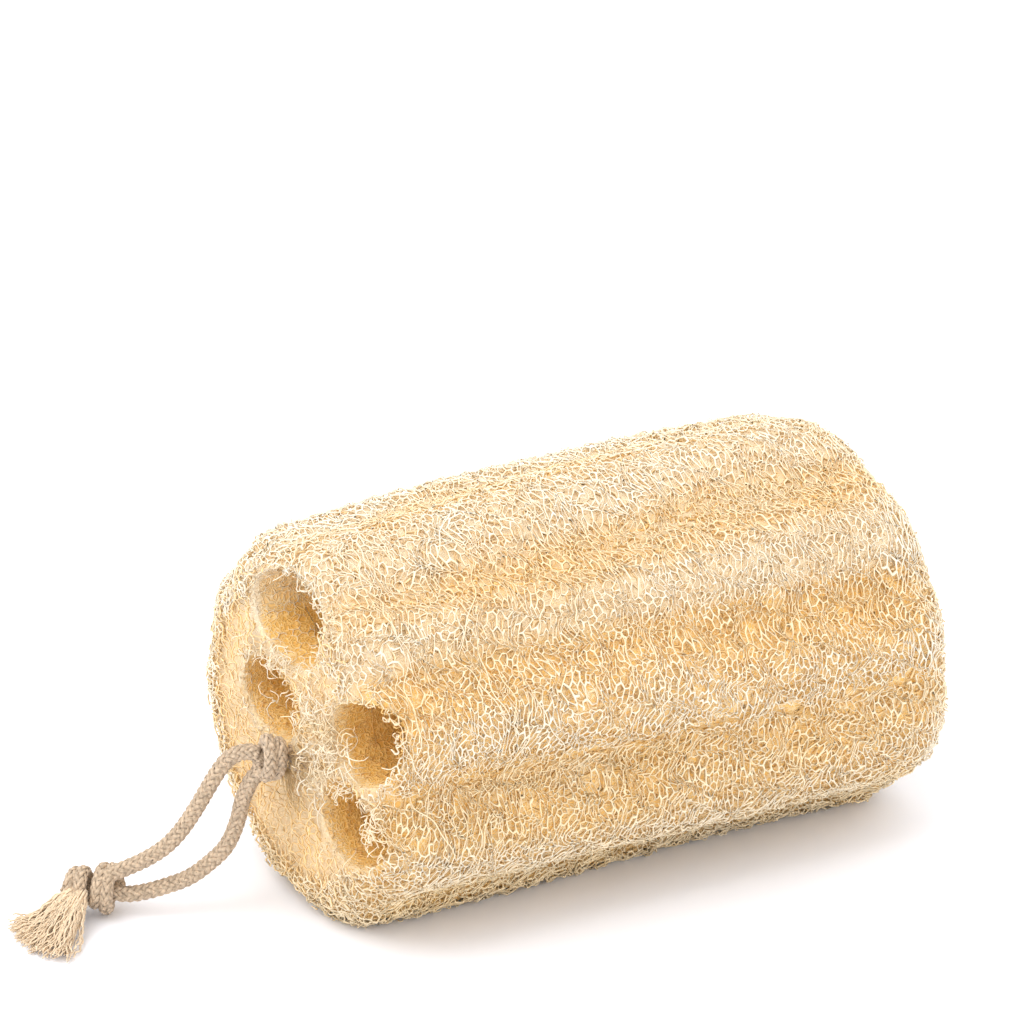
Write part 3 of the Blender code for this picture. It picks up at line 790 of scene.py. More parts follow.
def net_faces(numbers, rng, missing):
    """The faces of a net: the strands' three sides, their open ends, and the undersides of the joints.

    The points are one top for each triangle, and then three low corners for each. Numbers gives each
    triangle's sites, and two triangles with a side in common are joined by a strand.
    """
    count = len(numbers)

    def low_corner(triangle, corner):
        return count + 3 * triangle + corner % 3

    following = np.roll(numbers, -1, axis=1)
    key = np.minimum(numbers, following) * (numbers.max() + 1) + np.maximum(numbers, following)
    order = np.argsort(key.ravel(), kind="stable")
    key = key.ravel()[order]
    owner = np.repeat(np.arange(count), 3)[order]
    side = np.tile(np.arange(3), count)[order]
    pair = np.flatnonzero(key[:-1] == key[1:])
    pair = pair[rng.uniform(0, 1, len(pair)) > missing]
    one, other = owner[pair], owner[pair + 1]
    one_left, one_right = low_corner(one, side[pair]), low_corner(one, side[pair] + 1)
    other_left, other_right = low_corner(other, side[pair + 1] + 1), low_corner(other, side[pair + 1])
    sides = np.concatenate([np.stack([one, one_left, other_left, other], 1),
                            np.stack([one, other, other_right, one_right], 1),
                            np.stack([one_left, one_right, other_right, other_left], 1)])
    alone = np.ones(len(key), dtype=bool)
    alone[pair] = False
    alone[pair + 1] = False
    one, side = owner[alone], side[alone]
    ends = np.stack([one, low_corner(one, side), low_corner(one, side + 1)], 1)
    every = np.arange(count)
    under = np.stack([low_corner(every, 0), low_corner(every, 2), low_corner(every, 1)], 1)
    return [sides, ends, under]


def net_piece(name, material, outwards, built):
    """A net as a piece, with its faces turned outwards."""
    points, faces, tone = built
    sides = faces[0][:200]
    normal = np.cross(points[sides[:, 1]] - points[sides[:, 0]], points[sides[:, 3]] - points[sides[:, 0]])
    if np.sum(normal * outwards(points[sides[:, 0]])) < 0:
        faces = [part[:, ::-1] for part in faces]
    return mesh_object(name, points, faces, material, "loofah_fibre", tone)


def fibre_piece(name, material, paths, widths, heights, ups):
    """Loose fibres as one piece, pale on the ribs, with painted shade that makes them golden in the
    grooves, on the low side and a little all over.
    """
    points, faces = sweep(paths, widths, heights, ups, 3)
    # Painted shade: the grooves' and low side's shade, and more over all the loose fibres.
    return mesh_object(name, points, faces, material, "loofah_fibre", LOOSE_PAINTED_SHADE * painted_shade_paleness(points))


def from_axis(points):
    """Directions away from the loofah's axis."""
    away = points.copy()
    away[:, 2] -= axis_height(points[:, 0])
    away[:, 0] = 0
    return away


def over_outside(along, around, depth, mouth):
    """Paths over the outside that stay clear of the channels' mouths, and directions away from the axis."""
    paths = outside(along.ravel(), around.ravel(), np.broadcast_to(depth, along.shape).ravel())
    paths = paths.reshape(*along.shape, 3)
    paths = paths[np.all(channel_share(paths) > mouth, axis=1)]
    return paths, from_axis(paths.reshape(-1, 3)).reshape(paths.shape)


def strand_widths(rng, strand, shares, number, taper):
    """Widths along so many loose fibres, each its own share of a strand's, with one taper for all."""
    return strand * rng.uniform(*shares, (number, 1)) * taper


def sweep(paths, widths, heights, ups, sides):
    """Closed strands along many paths of as many points: an oval section, flat ends."""
    number, length, _ = paths.shape
    tangent = np.gradient(paths, axis=1)
    tangent /= np.linalg.norm(tangent, axis=2, keepdims=True) + 1e-12
    across = np.cross(tangent, ups)
    across /= np.linalg.norm(across, axis=2, keepdims=True) + 1e-12
    up = np.cross(across, tangent)
    turns = math.tau * np.arange(sides) / sides
    wide = widths[:, :, None, None] * np.cos(turns)[:, None] * across[:, :, None, :]
    tall = heights[:, :, None, None] * np.sin(turns)[:, None] * up[:, :, None, :]
    points = (paths[:, :, None, :] + wide + tall).reshape(-1, 3)
    base = (np.arange(number) * length * sides)[:, None, None]
    ring = (np.arange(length - 1) * sides)[None, :, None]
    here = np.arange(sides)
    there = (here + 1) % sides
    quads = np.stack([base + ring + sides + here, base + ring + sides + there, base + ring + there,
                      base + ring + here], axis=-1).reshape(-1, 4)
    first = (base[:, :, 0] + here).reshape(-1, sides)
    last = (base[:, :, 0] + (length - 1) * sides + here[::-1]).reshape(-1, sides)
    return points, [quads, first, last]


def joined(parts):
    """One set of points and faces from several."""
    points = []
    faces = []
    total = 0
    for some, groups in parts:
        points.append(some)
        faces.extend(group + total for group in groups)
        total += len(some)
    return np.concatenate(points), faces


def smooth_route(route, spacing):
    """Evenly spaced points of a smooth curve through the route's points."""
    route = np.array(route)
    ends = np.concatenate([[2 * route[0] - route[1]], route, [2 * route[-1] - route[-2]]])
    t = np.linspace(0, 1, 24, endpoint=False)[:, None]
    parts = []
    for before, here, there, after in zip(ends, ends[1:], ends[2:], ends[3:]):
        parts.append(0.5 * (2 * here + (there - before) * t
                            + (2 * before - 5 * here + 4 * there - after) * t ** 2
                            + (3 * here - before - 3 * there + after) * t ** 3))
    return evenly(np.concatenate(parts + [route[-1:]]), spacing)


def evenly(points, spacing):
    """The same line with its points about this far apart."""
    steps = np.linalg.norm(np.diff(points, axis=0), axis=1)
    along = np.concatenate([[0], np.cumsum(steps)])
    places = np.linspace(0, along[-1], max(3, round(along[-1] / spacing) + 1))
    return np.stack([np.interp(places, along, points[:, k]) for k in range(3)], axis=1)


def carried_frames(path):
    """For each point of a line, two directions square to it that turn as little as they can."""
    tangent = np.gradient(path, axis=0)
    tangent /= np.linalg.norm(tangent, axis=1, keepdims=True)
    side = np.cross(tangent[0], (0, 0, 1))
    if np.linalg.norm(side) < 0.1:
        side = np.cross(tangent[0], (0, 1, 0))
    sides = []
    for along in tangent:
        side = side - along * np.dot(side, along)
        side = side / np.linalg.norm(side)
        sides.append(side)
    sides = np.array(sides)
    return sides, np.cross(tangent, sides)


def braid(route, radius, strands, pitch, spacing=STRAND_SPACING):
    """A round braided cord along a route: strands wind both ways and pass over two, under two."""
    path = evenly(np.array(route), spacing)
    side, other = carried_frames(path)
    along = np.arange(len(path)) * np.linalg.norm(path[1] - path[0])
    turn = math.tau * along / pitch
    crossing = turn * strands / math.pi
    thick = radius * BRAID_THICKNESS
    paths = []
    ups = []
    for way in (1, -1):
        for number in range(strands):
            angle = way * turn + math.tau * number / strands
            over = way * np.cos(math.pi / 2 * (2 * number + way * crossing) - math.pi / 4)
            away = np.cos(angle)[:, None] * side + np.sin(angle)[:, None] * other
            height = radius - thick * (1 - BRAID_FLATNESS * over)
            paths.append(path + away * height[:, None])
            ups.append(away)
    paths = np.array(paths)
    width = math.pi * radius / strands * BRAID_COVER
    shape = np.ones(paths.shape[:2])
    filling = np.full((1, len(path)), radius - 1.5 * thick)
    return joined([sweep(paths, shape * width, shape * thick * BRAID_FLATNESS, np.array(ups), 5),
                   sweep(path[None], filling, filling, side[None], 8)])


def shaded(colour, shares):
    """A colour with its red, green and blue multiplied by these shares."""
    return [min(value * share, 1.0) for value, share in zip(colour, shares)]


def halfway(one, other):
    """The colour midway between two."""
    return [(a + b) / 2 for a, b in zip(one, other)]


def colour_mix(tree, factor, low, high):
    """A mix of two colours, or colour sockets, by a factor socket, as its output socket."""
    mix = tree.nodes.new("ShaderNodeMix")
    mix.data_type = "RGBA"
    tree.links.new(factor, mix.inputs["Factor"])
    for socket, colour in ((mix.inputs[6], low), (mix.inputs[7], high)):
        if isinstance(colour, bpy.types.NodeSocket):
            tree.links.new(colour, socket)
        else:
            socket.default_value = (*colour, 1.0)
    return mix.outputs[2]


def ramped(tree, socket, low, high):
    """The socket's value from low to high, stretched to 0 to 1."""
    stretch = tree.nodes.new("ShaderNodeMapRange")
    stretch.interpolation_type = "SMOOTHSTEP"
    stretch.inputs["From Min"].default_value = low
    stretch.inputs["From Max"].default_value = high
    tree.links.new(socket, stretch.inputs["Value"])
    return stretch.outputs["Result"]


def noise_socket(tree, place, scale, detail=3.0):
    """Noise with so many cells to a metre, as its output socket."""
    noise = tree.nodes.new("ShaderNodeTexNoise")
    noise.inputs["Scale"].default_value = scale
    noise.inputs["Detail"].default_value = detail
    tree.links.new(place, noise.inputs["Vector"])
    return noise.outputs["Fac"]


def tone_socket(tree):
    """The tone that a mesh stores on its points, as an output socket."""
    tone = tree.nodes.new("ShaderNodeAttribute")
    tone.attribute_name = "tone"
    return tone.outputs["Fac"]


def new_material(name, roughness, specular=0.3, sheen=0.0):
    """A material, its node tree, its shader, and the socket that places its textures."""
    made = bpy.data.materials.new(name)
    made.use_nodes = True
    tree = made.node_tree
    shader = tree.nodes["Principled BSDF"]
    shader.inputs["Roughness"].default_value = roughness
    shader.inputs["Specular IOR Level"].default_value = specular
    shader.inputs["Sheen Weight"].default_value = sheen
    return made, tree, shader, tree.nodes.new("ShaderNodeTexCoord").outputs["Object"]


def add_bump(tree, shader, height, strength, distance):
    """Roughens a shader's surface by a height socket."""
    bump = tree.nodes.new("ShaderNodeBump")
    bump.inputs["Strength"].default_value = strength
    bump.inputs["Distance"].default_value = distance
    tree.links.new(height, bump.inputs["Height"])
    tree.links.new(bump.outputs["Normal"], shader.inputs["Normal"])


def fibre_material(name, low, high):
    """Dry plant fibre from a low to a high colour, by tone (which carries painted shade and light), broad
    patches and speckle, with fine grain.
    """
    made, tree, shader, place = new_material(name, 0.70, 0.20)
    tone = ramped(tree, tone_socket(tree), 0.0, FULL_TONE)
    patches = ramped(tree, noise_socket(tree, place, 55.0, 2.0), 0.30, 0.70)
    speckle = ramped(tree, noise_socket(tree, place, 900.0, 2.0), 0.25, 0.75)
    factor = None
    for socket, weight in zip((tone, patches, speckle), TONE_WEIGHTS):
        step = tree.nodes.new("ShaderNodeMath")
        step.operation = "MULTIPLY_ADD"
        step.inputs[1].default_value = weight
        step.inputs[2].default_value = 0.0
        tree.links.new(socket, step.inputs[0])
        if factor is not None:
            tree.links.new(factor, step.inputs[2])
        factor = step.outputs[0]
    tree.links.new(colour_mix(tree, factor, low, high), shader.inputs["Base Color"])
    add_bump(tree, shader, noise_socket(tree, place, 4000.0, 2.0), 0.25, 0.0001)
    return made


def lining_material(name, settings):
    """The felted fibre deep in the loofah: a fine golden tangle with paler threads and painted shade in its
    gaps, more painted shade deep in the channels, and paler where painted light lifts the tone past 1.
    """
    made, tree, shader, place = new_material(name, 0.75, 0.15)
    cells = tree.nodes.new("ShaderNodeTexVoronoi")
    cells.feature = "DISTANCE_TO_EDGE"
    cells.inputs["Scale"].default_value = 1050.0
    shift = tree.nodes.new("ShaderNodeTexNoise")
    shift.inputs["Scale"].default_value = 260.0
    tree.links.new(place, shift.inputs["Vector"])
    warp = tree.nodes.new("ShaderNodeVectorMath")
    warp.operation = "MULTIPLY_ADD"
    warp.inputs[1].default_value = (0.004, 0.004, 0.004)
    tree.links.new(shift.outputs["Color"], warp.inputs[0])
    tree.links.new(place, warp.inputs[2])
    tree.links.new(warp.outputs["Vector"], cells.inputs["Vector"])
    thread = ramped(tree, cells.outputs["Distance"], 0.22, 0.02)
    patches = ramped(tree, noise_socket(tree, place, 70.0, 3.0), 0.3, 0.7)
    # Painted shade: the gaps between the threads are darker.
    gaps = shaded(settings.deep_shade_colour, PAINTED_GAP_SHADE)
    base = colour_mix(tree, patches, gaps, settings.deep_shade_colour)
    outer = colour_mix(tree, thread, base, settings.fibre_colour)
    # Painted shade: deep in the channels, where the tone is low, the gaps darken again and the threads turn
    # golden.
    cavity = colour_mix(tree, thread, shaded(gaps, PAINTED_GAP_SHADE), settings.deep_shade_colour)
    tone = tone_socket(tree)
    inner = colour_mix(tree, tone, cavity, outer)
    creamy = halfway(settings.fibre_colour, settings.crest_colour)
    # Painted light: where the tone passes 1, as in the upper channel, the fibre turns creamy.
    pale = ramped(tree, tone, 1.0, 1.9)
    tree.links.new(colour_mix(tree, pale, inner, creamy), shader.inputs["Base Color"])
    add_bump(tree, shader, thread, 0.6, 0.0004)
    return made


def cord_material(name, colour, shade=0.62):
    """Spun cotton in fine darker and paler patches, with a few brown flecks and a fuzzy surface."""
    made, tree, shader, place = new_material(name, 0.85, 0.15, 0.2)
    patches = ramped(tree, noise_socket(tree, place, 1300.0, 4.0), 0.25, 0.75)
    base = colour_mix(tree, patches, shaded(colour, (shade,) * 3), shaded(colour, (1.22,) * 3))
    flecks = ramped(tree, noise_socket(tree, place, 1500.0, 1.0), 0.66, 0.76)
    brown = shaded(colour, (0.30,) * 3)
    tree.links.new(colour_mix(tree, flecks, base, brown), shader.inputs["Base Color"])
    add_bump(tree, shader, noise_socket(tree, place, 3500.0, 3.0), 0.6, 0.0002)
    return made


class LOOFAH_OT_camera(bpy.types.Operator):
    """Set up the camera at the viewing angle of the picture"""
    bl_idname = "loofah.camera"
    bl_label = "Camera"

    def execute(self, context):
        data = bpy.data.cameras.new("camera")
        data.sensor_width = SENSOR
        data.lens = CAMERA_LENS
        data.clip_start = 0.01
        camera = bpy.data.objects.new("camera", data)
        ahead = Vector((math.sin(CAMERA_TURN) * math.cos(CAMERA_DOWN),
                        math.cos(CAMERA_TURN) * math.cos(CAMERA_DOWN), -math.sin(CAMERA_DOWN)))
        turn = ahead.to_track_quat("-Z", "Y").to_matrix().to_4x4()
        camera.matrix_world = Matrix.Translation(CAMERA_PLACE) @ turn
        context.scene.collection.objects.link(camera)
        context.scene.camera = camera
        return {"FINISHED"}


class LOOFAH_OT_cord(bpy.types.Operator):
    """Make the cord's two braided legs and the loop that holds it to the loofah"""
    bl_idname = "loofah.cord"
    bl_label = "Cord"

    def execute(self, context):
        settings = context.scene.loofah_cord
        finish = cord_material("braided cotton", settings.cord_colour)
        context.scene["loofah_cord_finish"] = finish
        for name, route in LEGS:
            path = smooth_route(route, ROUTE_SPACING)
            leg = mesh_object(f"braided_leg_{name}",
                              *braid(path, CORD_RADIUS, settings.strands, settings.braid_pitch),
                              finish, "braided_cord")
            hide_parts(f"cord_leg_{name}")
        face = -LENGTH / 2
        sides = []
        for sign in (1, -1):
            side = []
            for depth, half in LOOP_HALF:
                t = (depth - LOOP_HALF[0][0]) / (LOOP_HALF[-1][0] - LOOP_HALF[0][0])
                height = LOOP_HEIGHTS[0] + (LOOP_HEIGHTS[1] - LOOP_HEIGHTS[0]) * t
                side.append((face + depth, LOOP_ACROSS + sign * half, height))
            sides.append(side)
        turn = (face + LOOP_END_DEPTH, LOOP_ACROSS, LOOP_HEIGHTS[1])
        path = smooth_route(sides[0] + [turn] + sides[1][::-1], ROUTE_SPACING)
        loop = mesh_object("braided_loop",
                           *braid(path, CORD_RADIUS, settings.strands, settings.braid_pitch,
                                  LOOP_STRAND_SPACING),
                           finish, "braided_cord")
        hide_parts("cord_loop")
        return {"FINISHED"}


class LOOFAH_OT_knots(bpy.types.Operator):
    """Make the two knots of the cord"""
    bl_idname = "loofah.knots"
    bl_label = "Knots"

    def execute(self, context):
        settings = context.scene.loofah_cord
        finish = context.scene["loofah_cord_finish"]
        for name, centre, half, along, turns, phase, waist in KNOTS:
            along = np.array(along)
            beside = np.cross(along, (0.0, 0.0, 1.0))
            radius = KNOT_CORD_RADIUS
            t = np.linspace(0, 1, WRAP_STEPS * round(turns))
            angle = math.tau * (phase + turns * t)
            tucked = smooth_step(np.minimum(t, 1 - t) * turns * TUCK_RATE)
            narrow = np.exp(-((t - WAIST_PLACE) / WAIST_LENGTH) ** 2)
            past_waist = smooth_step(3 * t - 1.5)
            pinch = 1 - waist * narrow - SECOND_BULGE_LOSS * waist * past_waist
            size = (TUCKED_SIZE + (1 - TUCKED_SIZE) * tucked) * pinch
            spread = 2 * t - 1 + BULGE_CROWDING * waist * np.sin(4 * math.pi * t)
            points = (np.array(centre) + along * (spread * (half[0] - radius))[:, None]
                      + beside * ((half[1] - radius) * size * np.cos(angle))[:, None])
            points[:, 2] += (half[2] - radius) * size * np.sin(angle)
            knot = mesh_object(f"tied_knot_{name}",
                               *braid(points, radius, settings.strands, settings.braid_pitch),
                               finish, "braided_cord")
            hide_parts(f"cord_knot_{name}")
        return {"FINISHED"}


class LOOFAH_OT_tassel(bpy.types.Operator):
    """Make the frayed yarns at the end of the cord"""
    bl_idname = "loofah.tassel"
    bl_label = "Tassel"

    def execute(self, context):
        settings = context.scene.loofah_cord
        rng = np.random.RandomState(TASSEL_SEED)
        finish = cord_material("frayed yarn", settings.yarn_colour, 0.86)
        number = settings.yarns
        share = (np.arange(number) + 0.5) / number
        heading = TASSEL_HEADING + TASSEL_FAN * (share - 0.5)
        heading = heading + rng.uniform(-YARN_STRAYING, YARN_STRAYING, number)
        reach = TASSEL_REACH[0] + (TASSEL_REACH[1] - TASSEL_REACH[0]) * share
        reach = reach + rng.uniform(*YARN_UNEVENNESS, number)
        out = np.stack([np.cos(heading), np.sin(heading), np.zeros(number)], axis=1)
        beside = np.stack([-out[:, 1], out[:, 0], out[:, 2]], axis=1)
        away = np.array([math.cos(TASSEL_HEADING), math.sin(TASSEL_HEADING), 0])
        root = np.array(LOWER_KNOT) + away * TASSEL_ROOT_DISTANCE
        t = np.linspace(0, 1, YARN_STEPS)
        layer = rng.uniform(0, 1, number)
        start = root + beside * ((share - 0.5) * TASSEL_ROOT_WIDTH)[:, None]
        start[:, 2] += (layer - 0.5) * TASSEL_ROOT_HEIGHT
        wave = rng.uniform(0, math.tau, (2, number, 1))
        size = rng.uniform(*YARN_SWAY, (number, 1)) * t
        paths = start[:, None] + out[:, None] * (reach[:, None] * t)[:, :, None]
        crimp = YARN_CRIMP * smooth_step(3 * t)
        sway = size * np.sin(wave[0] + 7 * t) + crimp * np.sin(2 * wave[0] + 33 * t)
        paths = paths + beside[:, None] * sway[:, :, None]
        rest = YARN_RADIUS + layer[:, None] * TASSEL_ROOT_HEIGHT * (1 - 0.5 * t)
        fall = smooth_step(1.3 * t)
        lift = size * 0.6 * (1 + np.sin(wave[1] + 8 * t)) + crimp * (1 + np.sin(2 * wave[1] + 31 * t))
        paths[:, :, 2] = start[:, 2:] * (1 - fall) + rest * fall + lift
        ups = np.broadcast_to(np.array([0.0, 0.0, 1.0]), paths.shape)
        widths = YARN_RADIUS * rng.uniform(0.6, 1.2, (number, 1)) * np.linspace(1.1, 0.75, YARN_STEPS)
        tassel = mesh_object("frayed_yarns", *sweep(paths, widths, widths, ups, 4), finish, "cord_yarn")
        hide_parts("cord_tassel")
        return {"FINISHED"}


class LOOFAH_OT_core(bpy.types.Operator):
    """Make the felted body below the nets, with its seed channels"""
    bl_idname = "loofah.core"
    bl_label = "Core"

    def execute(self, context):
        settings = context.scene.loofah_fibre
        finish = lining_material("felted fibre", settings)
        rows, columns = CORE_GRID
        distance = np.linspace(0, MERIDIAN, rows)
        around = np.arange(columns) * AROUND / columns
        grid = np.meshgrid(distance, around, indexing="ij")
        points = outside(grid[0].ravel(), grid[1].ravel(), CORE_DEPTH)
        row = (np.arange(rows - 1) * columns)[:, None]
        here = np.arange(columns)
        there = (here + 1) % columns
        quads = np.stack([row + columns + here, row + columns + there, row + there, row + here],
                         axis=-1).reshape(-1, 4)
        caps = [here[None, :], (here + (rows - 1) * columns)[None, ::-1]]
        core = mesh_object("felted_core", points, [quads, *caps], finish, "loofah_fibre")
        bpy.context.view_layer.objects.active = core
        for channel, sizes in zip(CHANNEL_NAMES, CHANNELS):
            cutter = channel_cutter(f"{channel}_channel", sizes)
            cut = core.modifiers.new("channel", "BOOLEAN")
            cut.operation = "DIFFERENCE"
            cut.solver = "EXACT"
            cut.object = cutter
            with context.temp_override(object=core):
                bpy.ops.object.modifier_apply(modifier=cut.name)
            bpy.data.objects.remove(cutter, do_unlink=True)
        points = np.empty(3 * len(core.data.vertices), dtype=np.float32)
        core.data.vertices.foreach_get("co", points)
        set_tone(core.data, core_tone(points.reshape(-1, 3).astype(float)))
        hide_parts("loofah")
        return {"FINISHED"}


def channel_cutter(name, sizes):
    """A smooth tapered tube past both ends of the loofah."""
    rows, columns = CUTTER_GRID
    reach = LENGTH / 2 + CUTTER_OVERHANG
    x = np.linspace(-reach, reach, rows)
    centre, half = channel_line(sizes, x)
    turn = np.arange(columns) * math.tau / columns
    across = centre[:, :1] + half[:, :1] * np.cos(turn)
    up = centre[:, 1:] + half[:, 1:] * np.sin(turn)
    height = axis_height(x)[:, None] + up
    points = np.stack([np.broadcast_to(x[:, None], across.shape), across, height], axis=-1).reshape(-1, 3)
    bm = bmesh.new()
    verts = [bm.verts.new(p) for p in points]
    for row in range(rows - 1):
        for column in range(columns):
            here = row * columns + column
            there = row * columns + (column + 1) % columns
            bm.faces.new((verts[here], verts[there], verts[there + columns], verts[here + columns]))
    bm.faces.new(verts[:columns])
    bm.faces.new(verts[-columns:])
    bmesh.ops.recalc_face_normals(bm, faces=bm.faces)
    mesh = bpy.data.meshes.new(name)
    bm.to_mesh(mesh)
    bm.free()
    cutter = bpy.data.objects.new(name, mesh)
    bpy.context.scene.collection.objects.link(cutter)
    return cutter


class LOOFAH_OT_side_nets(bpy.types.Operator):
    """Make the two nets of fibre round the side of the loofah"""
    bl_idname = "loofah.side_nets"
    bl_label = "Side nets"

    def execute(self, context):
        settings = context.scene.loofah_fibre
        rng = np.random.RandomState(SIDE_NET_SEED)
        pale = fibre_material("pale fibre", settings.fibre_colour, settings.crest_colour)
        # The golden fibre lines all but the upper channel: painted shade. The middle fibre starts from the
        # deep shade colour: painted shade for the under net and the end nets.
        golden = fibre_material("golden fibre", settings.deep_shade_colour, settings.fibre_colour)
        creamy = halfway(settings.fibre_colour, settings.crest_colour)
        middle = fibre_material("middle fibre", settings.deep_shade_colour, creamy)
        context.scene["loofah_pale"] = pale
        context.scene["loofah_golden"] = golden
        context.scene["loofah_middle"] = middle
        strand = settings.strand_width
        for name, cell, stretch, width, base, finish, parts in (
                ("outer_net", settings.outer_cell, OUTER_STRETCH, strand, 0.0, pale, OUTER_PARTS),
                ("under_net", settings.under_cell, 1.0, strand * UNDER_STRAND, UNDER_NET_DEPTH, middle,
                 UNDER_PARTS)):
            holes = [(u, AROUND * angle / 360 % AROUND, radius) for u, angle, radius in ROUND_MESHES]
            for _ in range(WIDE_MESHES):
                holes.append((rng.uniform(WIDE_MESH_START, MERIDIAN - WIDE_MESH_STOP),
                              rng.uniform(SEAM_MARGIN, AROUND - SEAM_MARGIN),
                              rng.uniform(*WIDE_MESH_RADIUS)))
            sites, columns, scale = lattice(MERIDIAN, AROUND, cell, stretch, rng, True, holes)
            places, numbers = triangles_of(sites, columns)
            drift = [waves(rng, DRIFT_WAVE), waves(rng, DRIFT_WAVE)]
            lift = waves(rng, BUMP_WAVE)
            fine = waves(rng, FINE_WAVE)
            ragged = waves(rng, RAGGED_WAVE)

            def surface(u, v, depth):
                fade = smooth_step(u / DRIFT_FADE) * smooth_step((MERIDIAN - u) / DRIFT_FADE)
                return outside(u + NET_DRIFT * drift[0](u, v) * fade, v + NET_DRIFT * drift[1](u, v), depth)

            def bumps(u, v):
                return base + NET_BUMP * (lift(u, v) + FINE_BUMP_SHARE * fine(u, v))

            def keep(points):
                rough = ragged(points[:, 1], points[:, 2])
                reach = rim_rounding(points[:, 0]) + SIDE_NET_OVERLAP + SIDE_NET_RAGGED * rough
                return (channel_share(points) > MOUTH_SHARE + RAGGED * rough) & (from_rim(points) < reach)

            share = np.clip((places.mean(axis=1)[:, 1] / columns * parts).astype(int), 0, parts - 1)
            for part in range(parts):
                chosen = share == part
                built = net(places[chosen], numbers[chosen], scale, surface, rng, width,
                            strand * SIDE_STRAND_THICKNESS, bumps, keep=keep)
                net_piece(f"{name}_{part + 1}", finish, from_axis, built)
        return {"FINISHED"}


class LOOFAH_OT_end_nets(bpy.types.Operator):
    """Make the nets of fibre on the two cut ends"""
    bl_idname = "loofah.end_nets"
    bl_label = "End nets"

    def execute(self, context):
        settings = context.scene.loofah_fibre
        rng = np.random.RandomState(END_NET_SEED)
        for end, name in ((-1, "cord_end_net"), (1, "far_end_net")):
            x = end * LENGTH / 2
            reach = 2 * (CORD_END_RADIUS if end < 0 else FAR_END_RADIUS)
            sites, _, scale = lattice(reach, reach, settings.end_cell, 1.0, rng)
            places, numbers = triangles_of(sites)
            lift = waves(rng, END_BUMP_WAVE)
            ragged = waves(rng, RAGGED_WAVE)

            def surface(u, v, depth):
                across = u - reach / 2
                up = v - reach / 2
                along = x - end * depth
                return np.stack([along + end_slant(x, across, up), across, axis_height(x) + up], axis=-1)

            def bumps(u, v):
                scatter = rng.uniform(-END_NET_SCATTER, END_NET_SCATTER, len(u))
                return END_NET_DEPTH + END_NET_BUMP * lift(u, v) + scatter

            def keep(points):
                edge = MOUTH_SHARE + RAGGED * ragged(points[:, 1], points[:, 2])
                return (sunk(points) > -END_NET_OVERHANG) & (channel_share(points) > edge)

            built = net(places, numbers, scale, surface, rng, settings.strand_width * END_STRAND,
                        settings.strand_width, bumps, END_NET_GAPS, keep, end_tone)
            net_piece(name, context.scene["loofah_middle"],
                      lambda points: np.broadcast_to(np.array([end, 0, 0]), points.shape), built)
        return {"FINISHED"}


class LOOFAH_OT_lining_nets(bpy.types.Operator):
    """Make the nets of fibre that line the mouths of the seed channels"""
    bl_idname = "loofah.lining_nets"
    bl_label = "Lining nets"

    def execute(self, context):
        settings = context.scene.loofah_fibre
        rng = np.random.RandomState(LINING_SEED)
        for end, end_name in ((-1, "cord_end"), (1, "far_end")):
            for sizes, channel in zip(CHANNELS, CHANNEL_NAMES):
                around = math.tau * LINING_RADIUS

                def surface(u, v, depth):
                    x = end * (LENGTH / 2 + LINING_OVERHANG - u)
                    centre, half = channel_line(sizes, x)
                    turn = v / around * math.tau
                    across = centre[:, 0] + (half[:, 0] + depth) * np.cos(turn)
                    up = centre[:, 1] + (half[:, 1] + depth) * np.sin(turn)
                    return np.stack([x, across, axis_height(x) + up], axis=-1)

                def inwards(points):
                    middle = points.copy()
                    centre, _ = channel_line(sizes, points[:, 0])
                    middle[:, 1] = centre[:, 0]
                    middle[:, 2] = axis_height(points[:, 0]) + centre[:, 1]
                    return middle - points

                sites, columns, scale = lattice(
                    LINING_LENGTH, around, settings.end_cell, LINING_STRETCH, rng, True)
                places, numbers = triangles_of(sites, columns)
                lift = waves(rng, LINING_WAVE)
                width = settings.strand_width * LINING_THIN
                built = net(places, numbers, scale, surface, rng, width, width,
                            lambda u, v: LINING_BUMP * lift(u, v) - LINING_RISE,
                            keep=lambda points: sunk(points) > LINING_START, shade=cavity_shade_and_light)
                # The upper channel's lining is pale and the others golden: painted light and painted shade.
                finish = context.scene["loofah_pale" if channel == "upper" else "loofah_golden"]
                net_piece(f"lining_{channel}_{end_name}", finish, inwards, built)
        return {"FINISHED"}


